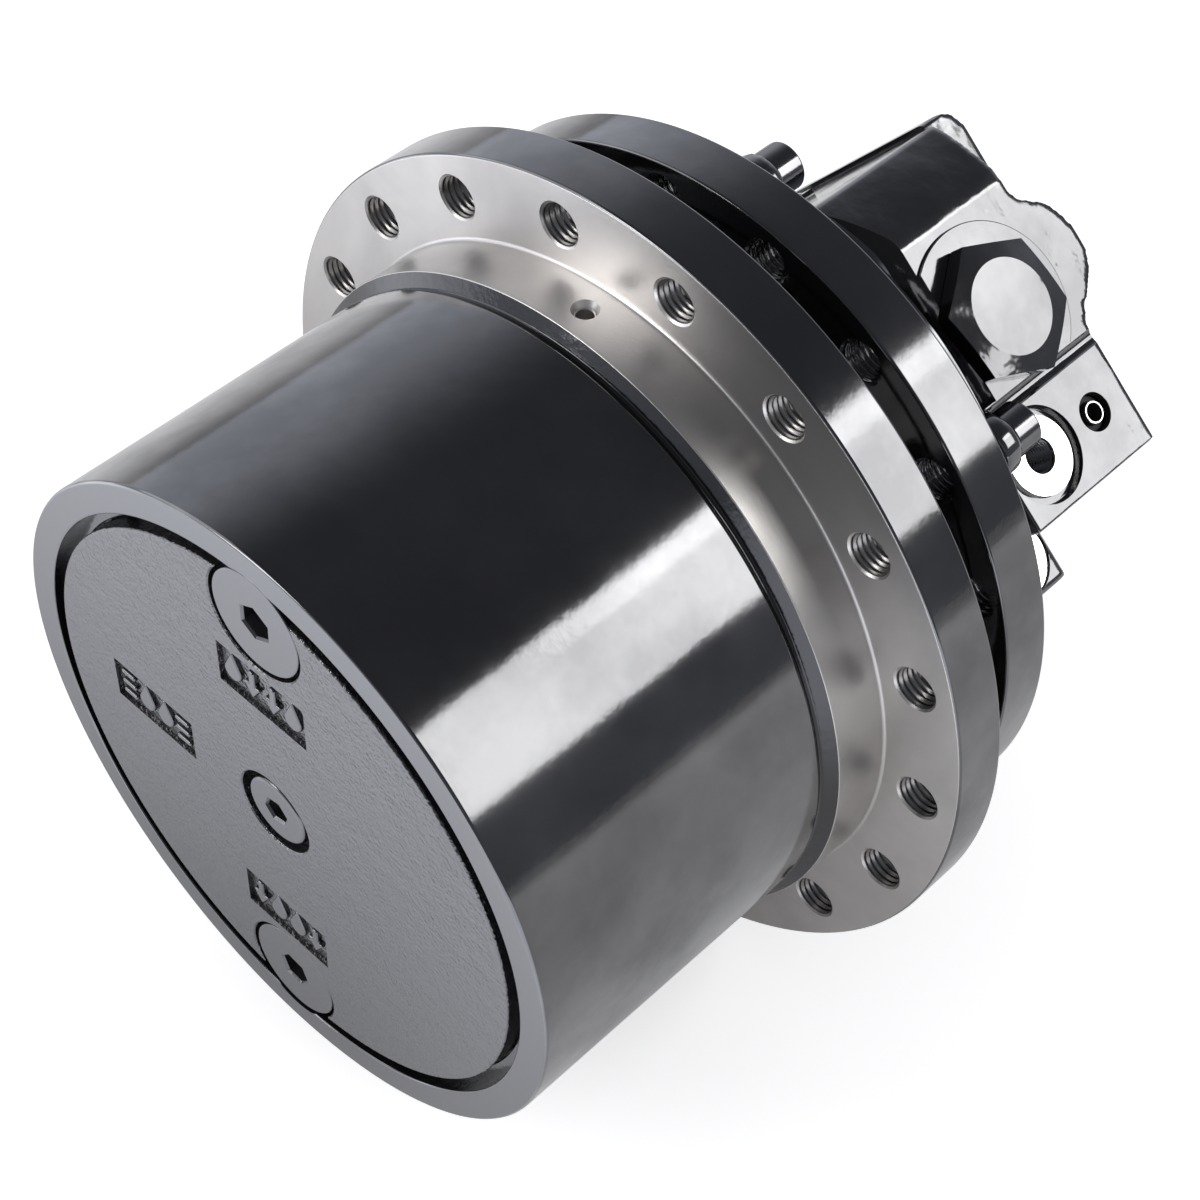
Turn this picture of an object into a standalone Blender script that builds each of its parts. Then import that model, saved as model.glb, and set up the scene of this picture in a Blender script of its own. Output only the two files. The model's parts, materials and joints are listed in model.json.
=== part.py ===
# Excavator final drive: a drum turned by two planetary stages, with an axial piston motor behind it.
# Metres, +Z up. The drive axis is Y, the drum faces -Y, and the origin is the centre of the face
# that bolts to the track frame.
import bpy
import bmesh
from math import acos, asin, atan2, cos, pi, radians, sin, sqrt, tan
from mathutils import Matrix, Vector

# Clearances
gap = 0.0003              # between pieces that touch
gear_backlash = 0.0004    # at the pitch circle, shared by both flanks
plug_clearance = 0.001    # round a plug head in its counterbore
side_play = 0.001         # beside a turning gear or carrier

# Facets of round pieces
drum_segments = 36
ring_segments = 24
small_segments = 16
screw_segments = 10
hole_segments = 8

# Drum and its flanges
drum_wall = 0.019         # outside the pitch circle of the ring gear
rim_wall = 0.0103
rim_chamfer = 0.001
valley_depth = 0.0024     # cast groove between the drum and its collar
valley_width = 0.0062
collar_height = 0.0038
pilot_step = 0.0033       # from the drum up to the pilot
pilot_length = 0.019
pilot_fillet = 0.002
flange_face_width = 0.0277   # of the sprocket flange outside the pilot
hub_flange_thickness = 0.0182
flange_chamfer = 0.001
flange_gap = 0.0226       # between the sprocket flange and the frame flange
hood_wall = 0.0065        # of the seal hoods that meet in that gap
hood_joint = 0.0015
hood_length = 0.0116
frame_face_width = 0.02085   # of the frame flange outside the hood
spindle_flange_thickness = 0.018
bolt_count = 18
hub_bolt_line = 0.0136    # from the pilot to the bolt circle
spindle_bolt_line = 0.0094   # from the hood to the bolt circle
bolt_hole_radius = 0.0063
pilot_hole_radius = 0.0034
pilot_hole_depth = 0.009
pilot_hole_place = 0.0099   # from the sprocket face forward

# End cover
cover_groove = 0.0043     # between the cover and the rim
cover_lip = 0.009         # from the drum face to the lip under the retaining ring
cover_depth = 0.0177
cover_dish_wall = 0.0184
cover_dish_floor = 0.0112
cover_dish_taper = 0.003
boss_root = 0.001         # of the plug bosses in the dish
ring_thickness = 0.0028
ring_bite = 0.0025        # how far the retaining ring enters the rim
plug_head_radius = 0.0172
plug_head_height = 0.0054
plug_chamfer = 0.0005
plug_thread_radius = 0.0108
plug_length = 0.0165
plug_socket_width = 0.010
plug_socket_depth = 0.0042
level_plug_radius = 0.0119   # the plug on the axis is smaller
level_seat_radius = 0.0143
level_thread_radius = 0.0078
level_socket_width = 0.0075
filler_edge = 0.0122      # from the cover's edge to the fill and drain plugs
pocket_length = 0.0353
pocket_height = 0.0165
pocket_depth = 0.0015
pocket_radius = 0.0532    # from the axis to the middle of a pocket

# Gear trains
gear_module = 0.003
pressure_angle = radians(25)
addendum = 0.85 * gear_module
dedendum = 1.15 * gear_module
ring_teeth = 60
sun_1_teeth = 12
planet_1_teeth = 24
sun_2_teeth = 18
planet_2_teeth = 21
planet_count = 3
planet_1_width = 0.024
planet_2_width = 0.038
planet_pin_radius = 0.0085
pin_head_height = 0.0016
pin_head_overlap = 0.003
pin_root = 0.005          # of the second stage pins in the spindle
carrier_thickness = 0.0099
carrier_rim = 0.016       # past the pin centres
sun_2_hub_radius = 0.017
sun_shaft_radius = 0.0085
sun_shaft_clearance = 0.002
thrust_plate_thickness = 0.0025
thrust_plate_width = 0.024
sun_root = 0.002          # of a sun gear in its own shaft or hub
web_wall = 0.002          # hub stock that the ring gear is cut from

# Main bearings and seals
bearing_width = 0.016
bearing_land = 0.001      # of the neck outside the planet pins
bearing_section = 0.019   # from bore to outside
ball_radius = 0.0055
ball_clearance = 0.0008   # in the race grooves
race_wall = 0.0052
race_groove_share = 0.6   # of the groove that the race walls take in
race_low_shoulder = 0.0016   # cut away from the open side of an angular contact race
ball_row_segments = 6
hub_shoulder_width = 0.010
hub_shoulder_height = 0.0075
nut_width = 0.0055
nut_height = 0.010
nut_slots = 6
nut_slot_width = 0.008
nut_slot_depth = 0.003
relief_height = 0.007     # of the chamber in front of the bearings
seal_bore_step = 0.016    # outside the bearing bore
seal_section = 0.0085
seal_chamber_room = 0.005    # round the seal rings
seal_ring_width = 0.0125
seal_ring_step = 0.003    # from the lapped face in to the back of a ring
seal_face_width = 0.005
o_ring_place = 0.0085     # behind the lapped face
o_ring_segments = 6
seal_seat_room = 0.002    # between the spindle and the seal rings
seal_setback = 0.0014     # from the bearing to the seal chamber floor
seal_floor_depth = 0.003  # of the spindle's seal chamber behind its flange face

# Motor
barrel_step = 0.002       # inside the hood
barrel_length = 0.0187
spindle_front_wall = 0.051
swash_bore_radius = 0.052
disc_bore_radius = 0.062
brake_bore_radius = 0.078
shaft_radius = 0.014
shaft_clearance = 0.001   # in the spindle
shaft_step_inset = 0.002  # of the journal in the cylinder block
sleeve_overlap = 0.018
journal_radius = 0.010
journal_length = 0.009
shaft_bearing_radius = 0.022
shaft_bearing_width = 0.012
swash_angle = radians(5)
swash_radius = 0.044
swash_middle = 0.0078     # thickness on the axis
swash_bore_clearance = 0.003
shoe_plate_radius = 0.042
shoe_plate_thickness = 0.009
shoe_socket_depth = 0.008
shoe_socket_radius = 0.0054
shoe_plate_bore = 0.019
piston_count = 7
piston_circle = 0.032
piston_radius = 0.008
piston_floor_gap = 0.003   # behind a piston at mid stroke
piston_neck_radius = 0.004
piston_neck_length = 0.009
block_radius = 0.047
block_length = 0.042
block_floor = 0.008
block_clearance = 0.004   # round the turning block
valve_plate_inset = 0.003   # behind the case flange
valve_plate_thickness = 0.0047
valve_plate_radius = 0.045
disc_thickness = 0.0025
disc_pairs = 1
disc_room = 0.003         # between a disc and the wall it doesn't grip
brake_piston_length = 0.0132
brake_nose_length = 0.0032
brake_travel = 0.0015
brake_spring_height = 0.0044
brake_spring_thickness = 0.0018

# Motor case, in axes turned by valve_angle about the drive axis
valve_angle = radians(50)
case_flange_thickness = 0.012
case_step = 0.010         # inside the barrel
case_end_y = 0.085
case_side_cut = 0.0325
case_pad_cut = 0.008      # to the machined pads
recess_depth = 0.005      # cast recess in front of each pad
case_corner_steps = 4
cast_stock = 0.001        # that the milled faces lose
cap_y = 0.0555
cap_z = 0.003
recess_top = 0.038
recess_bottom = -0.020
recess_back = 0.038       # where the pad starts
pad_bottom = -0.0185      # of the valve pad, where a cast groove starts
cap_seat_radius = 0.029
cap_seat_height = 0.0012
cap_seat_root = 0.002
cap_across_flats = 0.041
cap_head_height = 0.0079
cap_bevel_height = 0.0018
cap_turn = radians(38.7)
cap_face_radius = 0.0152
cap_plug_radius = 0.014
cap_plug_length = 0.012
spool_radius = 0.008
spool_land = 0.016
spool_neck_radius = 0.0055
spool_travel = 0.004
port_block_top = -0.0245
port_block_reach = 0.002  # past the side flat
port_y = 0.0436
port_edge = 0.0188        # from the case's side flat
port_face_radius = 0.0126
port_face_depth = 0.0008
port_bore_radius = 0.0056
port_bore_depth = 0.022
gauge_y = 0.070
gauge_radius = 0.0056
gauge_length = 0.010
gauge_inset = 0.0005      # below the pad
gauge_floor_gap = 0.001
gauge_socket_width = 0.0045
lower_port_reach = 0.0465
lower_port_step = 0.0121  # outside the side flat
lower_port_half = 0.0145
lower_port_root = 0.005
screw_edge = 0.008        # from the barrel's outside to the screw circle
screw_radius = 0.005
screw_head_radius = 0.008
screw_head_height = 0.010
screw_chamfer = 0.001
screw_length = 0.022
screw_socket_width = 0.008
screw_angles = [radians(-17), radians(52), radians(163), radians(232)]
ear_radius = 0.009

# Rear cover of the motor
rear_thickness = 0.0125
rear_side_step = 0.0005   # past the side flat, where the cover is rounded
rear_end_step = 0.018     # inside the pads
rear_corner = 0.014
lobe_radius = 0.019
lobe_y = 0.0845
lobe_z = 0.007
lobe_joint = 0.001        # between the cover's lobe and its ends on the case
corner_lobe_radius = 0.0145
corner_lobe_y = 0.0868
corner_lobe_z = 0.0445
rear_screw_depth = 0.055
rear_screw_width = 0.031
rear_screw_drop = 0.012
rear_screw_inset = 0.001
rear_screw_head_radius = 0.0065
rear_screw_radius = 0.004
plate_length = 0.046
plate_height = 0.026
plate_thickness = 0.001
plate_y = 0.056

# Pitch circles and gear centres
pitch_ring = ring_teeth * gear_module / 2
pitch_sun_1 = sun_1_teeth * gear_module / 2
pitch_planet_1 = planet_1_teeth * gear_module / 2
pitch_sun_2 = sun_2_teeth * gear_module / 2
pitch_planet_2 = planet_2_teeth * gear_module / 2
centre_1 = pitch_sun_1 + pitch_planet_1
centre_2 = pitch_sun_2 + pitch_planet_2

# Radii that follow from the gears and from the walls round them
bearing_bore = centre_2 + planet_pin_radius + bearing_land
bearing_outer = bearing_bore + bearing_section
nut_radius = bearing_bore + nut_height
relief_radius = bearing_outer + relief_height
seal_inner_radius = bearing_bore + seal_bore_step
seal_outer_radius = seal_inner_radius + seal_section
seal_chamber_radius = seal_outer_radius + seal_chamber_room
drum_radius = pitch_ring + drum_wall
rim_bore_radius = drum_radius - rim_wall
cover_face_radius = rim_bore_radius - cover_groove
cover_dish_radius = rim_bore_radius - cover_dish_wall
filler_radius = cover_face_radius - filler_edge
pilot_radius = drum_radius + pilot_step
hub_flange_radius = pilot_radius + flange_face_width
hub_bolt_circle = pilot_radius + hub_bolt_line
hood_radius = seal_chamber_radius + hood_wall
spindle_flange_radius = hood_radius + frame_face_width
spindle_bolt_circle = hood_radius + spindle_bolt_line
barrel_radius = hood_radius - barrel_step
screw_circle = barrel_radius - screw_edge
case_radius = barrel_radius - case_step
case_half_width = case_radius - case_side_cut
case_half_depth = case_radius - case_pad_cut
port_z = port_edge - case_half_width
port_block_bottom = -case_half_width - port_block_reach
lower_port_z = -case_half_width - lower_port_step
rear_half_width = case_half_width - rear_side_step
rear_half_depth = case_half_depth - rear_end_step

# Stations along the drive axis, from the frame face at zero forward to the drum face
spindle_flange_front = -spindle_flange_thickness
hub_flange_back = spindle_flange_front - flange_gap
hub_flange_front = hub_flange_back - hub_flange_thickness
seal_joint = hub_flange_back + hood_length
rear_bearing_back = seal_joint - seal_ring_width - gap - seal_setback
rear_bearing_front = rear_bearing_back - bearing_width
front_bearing_back = rear_bearing_front - hub_shoulder_width
front_bearing_front = front_bearing_back - bearing_width
nut_front = front_bearing_front - gap - nut_width
spindle_front = nut_front - side_play
planet_2_back = spindle_front - 2 * side_play
planet_2_front = planet_2_back - planet_2_width
thrust_back = planet_2_front - gap
thrust_front = thrust_back - thrust_plate_thickness
carrier_back = thrust_front - side_play
carrier_front = carrier_back - carrier_thickness
planet_1_back = carrier_front - side_play
planet_1_front = planet_1_back - planet_1_width
pin_front = planet_1_front - side_play - pin_head_height
cover_back = pin_front - 2 * side_play
drum_face = cover_back - cover_depth
collar_back = hub_flange_front - pilot_length
valley_back = collar_back - collar_height * 0.85
valley_front = valley_back - valley_width * 0.6

# Stations from the frame face backward
barrel_back = barrel_length
case_front = barrel_back + gap
case_flange_back = case_front + case_flange_thickness
valve_plate_back = case_flange_back + valve_plate_inset
valve_plate_front = valve_plate_back - valve_plate_thickness
block_back = valve_plate_front - gap
block_front = block_back - block_length
swash_seat = spindle_front + spindle_front_wall
shaft_back = valve_plate_back + journal_length
brake_spring_back = barrel_back
brake_piston_back = brake_spring_back - brake_spring_height
brake_piston_front = brake_piston_back - brake_piston_length
disc_stack_front = brake_piston_front - 2 * disc_pairs * (disc_thickness + gap) - gap
rear_front = case_end_y + gap
rear_back = rear_front + rear_thickness

# Directions of the planets, and the circle of the main bearing balls
planet_angles = [pi / 2 + 2 * pi * i / planet_count for i in range(planet_count)]
ball_circle = (bearing_bore + bearing_outer) / 2

parts = bpy.data.collections.new("excavator_final_drive")
cutters = bpy.data.collections.new("cutters")


def clear_scene():
    for item in list(bpy.data.objects):
        bpy.data.objects.remove(item, do_unlink=True)
    bpy.context.scene.collection.children.link(parts)
    bpy.context.scene.collection.children.link(cutters)


def make_material(name, colour, roughness, metallic):
    result = bpy.data.materials.new(name)
    result.use_nodes = True
    shader = result.node_tree.nodes["Principled BSDF"]
    shader.inputs["Base Color"].default_value = (*colour, 1)
    shader.inputs["Roughness"].default_value = roughness
    shader.inputs["Metallic"].default_value = metallic
    result.diffuse_color = (*colour, 1)
    return result


def add_object(name, data, material=None, parent=None, place=(0, 0, 0)):
    """An object in the parts collection, or in the cutters collection where it has no material."""
    result = bpy.data.objects.new(name, data)
    result.location = place
    result.parent = parent
    if material:
        data.materials.append(material)
        parts.objects.link(result)
    else:
        cutters.objects.link(result)
        result.hide_render = True
        result.display_type = "WIRE"
    return result


def shade_round(mesh):
    mesh.shade_smooth()
    mesh.set_sharp_from_angle(angle=radians(35))


def mesh_from(bm, name):
    bmesh.ops.recalc_face_normals(bm, faces=bm.faces)
    mesh = bpy.data.meshes.new(name)
    bm.to_mesh(mesh)
    bm.free()
    shade_round(mesh)
    return mesh


def turned(name, profile, material=None, segments=ring_segments, place=(0, 0, 0), parent=None):
    """A closed (radius, y) profile turned about the Y axis. It may start and end on the axis."""
    following = profile[1:] + profile[:1]
    area = sum(a[0] * b[1] - b[0] * a[1] for a, b in zip(profile, following))
    points = profile if area < 0 else profile[::-1]
    mesh = bpy.data.meshes.new(name)
    edges = [(i, (i + 1) % len(points)) for i in range(len(points))]
    edges = [(i, j) for i, j in edges if points[i][0] or points[j][0]]
    mesh.from_pydata([(r, y, 0) for r, y in points], edges, [])
    result = add_object(name, mesh, material, parent, place)
    screw = result.modifiers.new("turn", "SCREW")
    screw.axis = "Y"
    screw.angle = 2 * pi
    screw.steps = segments
    screw.render_steps = segments
    screw.use_merge_vertices = True
    screw.merge_threshold = 0.00001
    screw.use_smooth_shade = True
    return result


def ring_profile(inner, outer, front, back):
    return [(inner, front), (outer, front), (outer, back), (inner, back)]


def add_cylinder(bm, radius, front, back, place=(0, 0), segments=small_segments, tip=None):
    """A cylinder along Y, from front to back, with its centre at place in X and Z."""
    turn = Matrix.Rotation(pi / 2, 4, "X")
    move = Matrix.Translation((place[0], (front + back) / 2, place[1]))
    bmesh.ops.create_cone(
        bm, cap_ends=True, segments=segments, radius1=radius if tip is None else tip, radius2=radius,
        depth=back - front, matrix=move @ turn.inverted())


def add_cross_cylinder(bm, radius, start, end, y, z, segments=small_segments):
    """A cylinder along local X."""
    turn = Matrix.Rotation(pi / 2, 4, "Y")
    move = Matrix.Translation(((start + end) / 2, y, z))
    bmesh.ops.create_cone(
        bm, cap_ends=True, segments=segments, radius1=radius, radius2=radius,
        depth=end - start, matrix=move @ turn)


def add_box(bm, low, high):
    size = [b - a for a, b in zip(low, high)]
    middle = [(a + b) / 2 for a, b in zip(low, high)]
    scale = Matrix.Diagonal((*size, 1))
    bmesh.ops.create_cube(bm, size=1, matrix=Matrix.Translation(middle) @ scale)


def solid(name, build, material=None, parent=None, place=(0, 0, 0)):
    """An object whose mesh the function build adds to a bmesh."""
    bm = bmesh.new()
    build(bm)
    return add_object(name, mesh_from(bm, name), material, parent, place)


def change(target, tool, operation="DIFFERENCE"):
    boolean = target.modifiers.new(tool.name, "BOOLEAN")
    boolean.operation = operation
    boolean.object = tool
    boolean.solver = "EXACT"


def flat_curve(name, outlines, front, back, material=None, place=(0, 0), parent=None):
    """Closed outlines in X and Z, filled and given the thickness from front to back."""
    curve = bpy.data.curves.new(name, "CURVE")
    curve.dimensions = "2D"
    curve.fill_mode = "BOTH"
    curve.extrude = (back - front) / 2
    for outline in outlines:
        spline = curve.splines.new("POLY")
        spline.points.add(len(outline) - 1)
        for point, (x, z) in zip(spline.points, outline):
            point.co = (x, z, 0, 1)
        spline.use_cyclic_u = True
    result = add_object(name, curve, material, parent, (place[0], (front + back) / 2, place[1]))
    result.rotation_euler = (pi / 2, 0, 0)
    return result


def flat_solid(name, outlines, front, back, material=None, place=(0, 0), parent=None):
    """The same shape as a closed mesh, for a piece that is cut, joined or used as a cutter."""
    curve = flat_curve(name, outlines, front, back, None, place)
    graph = bpy.context.evaluated_depsgraph_get()
    mesh = bpy.data.meshes.new_from_object(curve.evaluated_get(graph))
    turn = Matrix.Rotation(pi / 2, 4, "X")
    mesh.transform(Matrix.Translation((0, (front + back) / 2, 0)) @ turn)
    bpy.data.objects.remove(curve, do_unlink=True)
    bm = bmesh.new()
    bm.from_mesh(mesh)
    bmesh.ops.remove_doubles(bm, verts=bm.verts, dist=0.000001)
    bpy.data.meshes.remove(mesh)
    return add_object(name, mesh_from(bm, name), material, parent, (place[0], 0, place[1]))


def circle(radius, segments, start=0.0):
    return [
        (radius * cos(start + 2 * pi * i / segments), radius * sin(start + 2 * pi * i / segments))
        for i in range(segments)]


def rounded_rectangle(half_width, half_height, corner, steps=4):
    outline = []
    for quarter, (sx, sz) in enumerate([(1, 1), (-1, 1), (-1, -1), (1, -1)]):
        for i in range(steps + 1):
            angle = (quarter + i / steps) * pi / 2
            outline.append((
                sx * (half_width - corner) + corner * cos(angle),
                sz * (half_height - corner) + corner * sin(angle)))
    return outline


def hexagon(across_flats, start=0.0):
    return circle(across_flats / sqrt(3), 6, start)


def half_tooth_angle(teeth, radius, backlash):
    """Half the angle that an involute tooth spans at this radius."""
    pitch = teeth * gear_module / 2
    base = pitch * cos(pressure_angle)
    turn = tan(pressure_angle) - pressure_angle
    if radius <= base:
        return pi / (2 * teeth) - backlash / (2 * pitch) + turn
    here = sqrt((radius / base) ** 2 - 1)
    roll = here - atan2(here, 1)
    return pi / (2 * teeth) - backlash / (2 * pitch) + turn - roll


def gear_outline(teeth, outer, inner, backlash, phase):
    """Involute teeth between two radii, with one tooth centred on the phase angle."""
    outline = []
    for i in range(teeth):
        middle = phase + 2 * pi * i / teeth
        root = half_tooth_angle(teeth, inner, backlash)
        tip = half_tooth_angle(teeth, outer, backlash)
        for radius, angle in [(inner, -root), (outer, -tip), (outer, tip), (inner, root)]:
            outline.append((radius * cos(middle + angle), radius * sin(middle + angle)))
    return outline


def external_gear(teeth, phase):
    pitch = teeth * gear_module / 2
    return gear_outline(teeth, pitch + addendum, pitch - dedendum, gear_backlash / 2, phase)


def around(count, radius, start):
    angles = [start + 2 * pi * i / count for i in range(count)]
    return [(radius * cos(angle), radius * sin(angle)) for angle in angles]


def lathe_bevel(radius, y, size, toward_radius, toward_y):
    """The two points of a chamfer on the corner at (radius, y)."""
    return [(radius + toward_radius * size, y), (radius, y + toward_y * size)]


def make_hub(paint):
    """The drum with its flange, the ring gear, both bearing seats and the front seal hood."""
    gear_web = pitch_ring - addendum - web_wall
    groove_back = drum_face + cover_lip
    groove_front = groove_back - ring_thickness - gap
    rim_groove = rim_bore_radius + ring_bite
    bearing_seat = bearing_outer + 2 * gap
    shoulder = bearing_seat - hub_shoulder_height
    relief_back = front_bearing_front - gap
    relief_front = planet_2_back
    rim = lathe_bevel(drum_radius, drum_face, rim_chamfer, -1, 1)
    flange_front_edge = lathe_bevel(hub_flange_radius, hub_flange_front, flange_chamfer, -1, 1)
    flange_back_edge = lathe_bevel(hub_flange_radius, hub_flange_back, flange_chamfer, -1, -1)
    profile = [
        (rim_bore_radius, drum_face), *rim,
        (drum_radius, valley_front - valley_depth), (drum_radius - valley_depth, valley_front),
        (drum_radius, valley_back),
        (pilot_radius, collar_back),
        (pilot_radius, hub_flange_front - pilot_fillet), (pilot_radius + pilot_fillet, hub_flange_front),
        *flange_front_edge, *flange_back_edge[::-1],
        (hood_radius, hub_flange_back), (hood_radius, seal_joint - hood_joint / 2),
        (seal_chamber_radius, seal_joint - hood_joint / 2),
        (seal_chamber_radius, rear_bearing_back + seal_setback),
        (bearing_seat, rear_bearing_back + seal_setback), (bearing_seat, rear_bearing_front - gap),
        (shoulder, rear_bearing_front - gap), (shoulder, front_bearing_back + gap),
        (bearing_seat, front_bearing_back + gap), (bearing_seat, relief_back),
        (relief_radius, relief_back), (relief_radius, relief_front),
        (gear_web, relief_front), (gear_web, cover_back + gap),
        (rim_bore_radius, cover_back + gap), (rim_bore_radius, groove_back + gap),
        (rim_groove, groove_back + gap), (rim_groove, groove_front), (rim_bore_radius, groove_front)]
    hub = turned("hub_housing", profile, paint, drum_segments)
    # The ring gear is cut with its own negative: teeth of the cutter are spaces of the ring.
    spaces = gear_outline(
        ring_teeth, pitch_ring + dedendum, pitch_ring - addendum, -gear_backlash / 2, 0)
    broach = flat_solid(
        "ring_gear_cutter", [spaces], cover_back - cover_depth / 3, relief_front + web_wall)
    change(hub, broach)

    def bolt_holes(bm):
        for place in around(bolt_count, hub_bolt_circle, pi / 2 + pi / bolt_count):
            add_cylinder(
                bm, bolt_hole_radius, hub_flange_front - gap, hub_flange_back + gap, place, hole_segments)

    def plug_seats(bm):
        for z in (filler_radius, -filler_radius):
            seat = drum_face + plug_head_height + gap
            add_cylinder(
                bm, plug_head_radius + plug_clearance, drum_face - gap, seat, (0, z), ring_segments)

    def pilot_hole(bm):
        middle = pilot_radius - pilot_hole_depth / 2 + gap
        move = Matrix.Translation((0, hub_flange_front - pilot_hole_place, middle))
        bmesh.ops.create_cone(
            bm, cap_ends=True, segments=hole_segments, radius1=pilot_hole_radius, radius2=pilot_hole_radius,
            depth=pilot_hole_depth, matrix=move)

    change(hub, solid("hub_bolt_cutter", bolt_holes))
    change(hub, solid("rim_scallop_cutter", plug_seats))
    change(hub, solid("pilot_hole_cutter", pilot_hole))


def make_end_cover(cast, steel):
    """The cast cover with its retaining ring, and the seats of its three plugs."""
    back = drum_face + cover_depth
    lip_radius = rim_bore_radius - gap
    lip = drum_face + cover_lip
    dish_floor = drum_face + cover_dish_floor
    profile = [
        (0, drum_face), *lathe_bevel(cover_face_radius, drum_face, rim_chamfer, -1, 1),
        (cover_face_radius, lip), (lip_radius, lip), (lip_radius, back), (cover_dish_radius, back),
        (cover_dish_radius - cover_dish_taper, dish_floor), (0, dish_floor)]
    cover = turned("end_cover", profile, cast, drum_segments)
    places = [(0, 0), (0, filler_radius), (0, -filler_radius)]

    def bosses(bm):
        for place in places:
            reach = plug_head_radius if place == (0, 0) else lip_radius - filler_radius - gap
            add_cylinder(bm, reach, dish_floor - boss_root, drum_face + plug_length - boss_root, place)

    seat_radii = [level_seat_radius, plug_head_radius + plug_clearance, plug_head_radius + plug_clearance]
    thread_radii = [level_thread_radius, plug_thread_radius, plug_thread_radius]

    def seats(bm):
        for radius, place in zip(seat_radii, places):
            seat = drum_face + plug_head_height + gap
            add_cylinder(bm, radius, drum_face - gap, seat, place, ring_segments)

    def threads(bm):
        for radius, place in zip(thread_radii, places):
            add_cylinder(bm, radius + gap, drum_face, back + gap, place)

    def pockets(bm):
        turns = [(0, pocket_radius), (0, -pocket_radius), (-pocket_radius, 0)]
        for x, z in turns:
            half = (pocket_length / 2, pocket_height / 2)
            low = (x - half[0], drum_face - gap, z - half[1])
            high = (x + half[0], drum_face + pocket_depth, z + half[1])
            add_box(bm, low, high)

    change(cover, solid("cover_boss_tool", bosses), "UNION")
    change(cover, solid("cover_seat_cutter", seats))
    change(cover, solid("cover_thread_cutter", threads))
    change(cover, solid("cover_pocket_cutter", pockets))
    ring_back = lip - gap
    turned("cover_retaining_ring", ring_profile(
        cover_face_radius + gap, rim_bore_radius + ring_bite - gap, ring_back - ring_thickness, ring_back),
        steel, drum_segments)
    make_plug("level_plug", places[0], level_plug_radius, level_thread_radius, level_socket_width, steel)
    for name, place in (("fill_plug", places[1]), ("drain_plug", places[2])):
        make_plug(name, place, plug_head_radius, plug_thread_radius, plug_socket_width, steel)


def o_ring(name, y, radius, section, rubber):
    profile = [(radius + section * cos(a), y + section * sin(a)) for a in
               [2 * pi * i / o_ring_segments for i in range(o_ring_segments)]]
    turned(name, profile, rubber)


def make_plug(name, place, head, thread, socket_width, steel):
    """A flat round plug, flush with the cover, with a hex socket."""
    seat = drum_face + plug_head_height
    end = drum_face + plug_length
    profile = [
        (0, drum_face), *lathe_bevel(head, drum_face, plug_chamfer, -1, 1),
        (head, seat), (thread, seat), (thread, end), (0, end)]
    plug = turned(name, profile, steel, ring_segments, (place[0], 0, place[1]))
    socket = flat_solid(
        name + "_socket_cutter", [hexagon(socket_width, pi / 6)], drum_face - gap,
        drum_face + plug_socket_depth, place=place)
    change(plug, socket)


def make_bearing(name, front, steel, brass, flip):
    """An angular contact ball bearing: two races, and the balls with their cage as one row."""
    back = front + bearing_width
    middle = (front + back) / 2
    groove = ball_radius + ball_clearance
    outer_floor = bearing_outer - race_wall
    inner_floor = bearing_bore + race_wall
    open_end = back if flip else front
    half = groove * race_groove_share
    outer = [(outer_floor, front), (bearing_outer, front), (bearing_outer, back), (outer_floor, back)]
    inner = [(inner_floor, back), (bearing_bore, back), (bearing_bore, front), (inner_floor, front)]
    outer = [(r + race_low_shoulder, y) if (r, y) == (outer_floor, open_end) else (r, y) for r, y in outer]
    turned(name + "_outer_race", outer + [
        (ball_circle + groove, middle + half), (ball_circle + groove, middle - half)], steel)
    turned(name + "_inner_race", inner + [
        (ball_circle - groove, middle - half), (ball_circle - groove, middle + half)], steel)
    row = [(ball_circle + ball_radius * cos(a), middle + ball_radius * sin(a))
           for a in [2 * pi * i / ball_row_segments for i in range(ball_row_segments)]]
    turned(name + "_ball_row", row, brass)


def make_bearing_nut(steel):
    nut = turned("bearing_nut", ring_profile(
        bearing_bore, nut_radius, nut_front, nut_front + nut_width), steel)

    def slots(bm):
        for i in range(nut_slots):
            box = bmesh.ops.create_cube(bm, size=1)["verts"]
            scale = Matrix.Diagonal((2 * nut_slot_depth, 3 * nut_width, nut_slot_width, 1))
            move = Matrix.Translation((nut_radius, nut_front, 0))
            turn = Matrix.Rotation(2 * pi * i / nut_slots, 4, "Y")
            bmesh.ops.transform(bm, matrix=turn @ move @ scale, verts=box)

    change(nut, solid("nut_slot_cutter", slots))


def make_seal(steel, rubber):
    """Two lapped metal rings, each carried by a rubber ring in its own hood."""
    half = gap / 2
    rings = (("hub_seal", seal_joint - half, -1), ("spindle_seal", seal_joint + half, 1))
    for name, face, way in rings:
        end = face + way * seal_ring_width
        step = seal_outer_radius - seal_ring_step
        turned(name + "_ring", [
            (seal_inner_radius, face), (seal_outer_radius, face),
            (step, face + way * seal_face_width),
            (step, end), (seal_inner_radius, end)], steel)
        radius = (step + seal_chamber_radius) / 2
        section = (seal_chamber_radius - step) / 2 - 2 * gap
        o_ring(name + "_o_ring", face + way * o_ring_place, radius, section, rubber)


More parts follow.
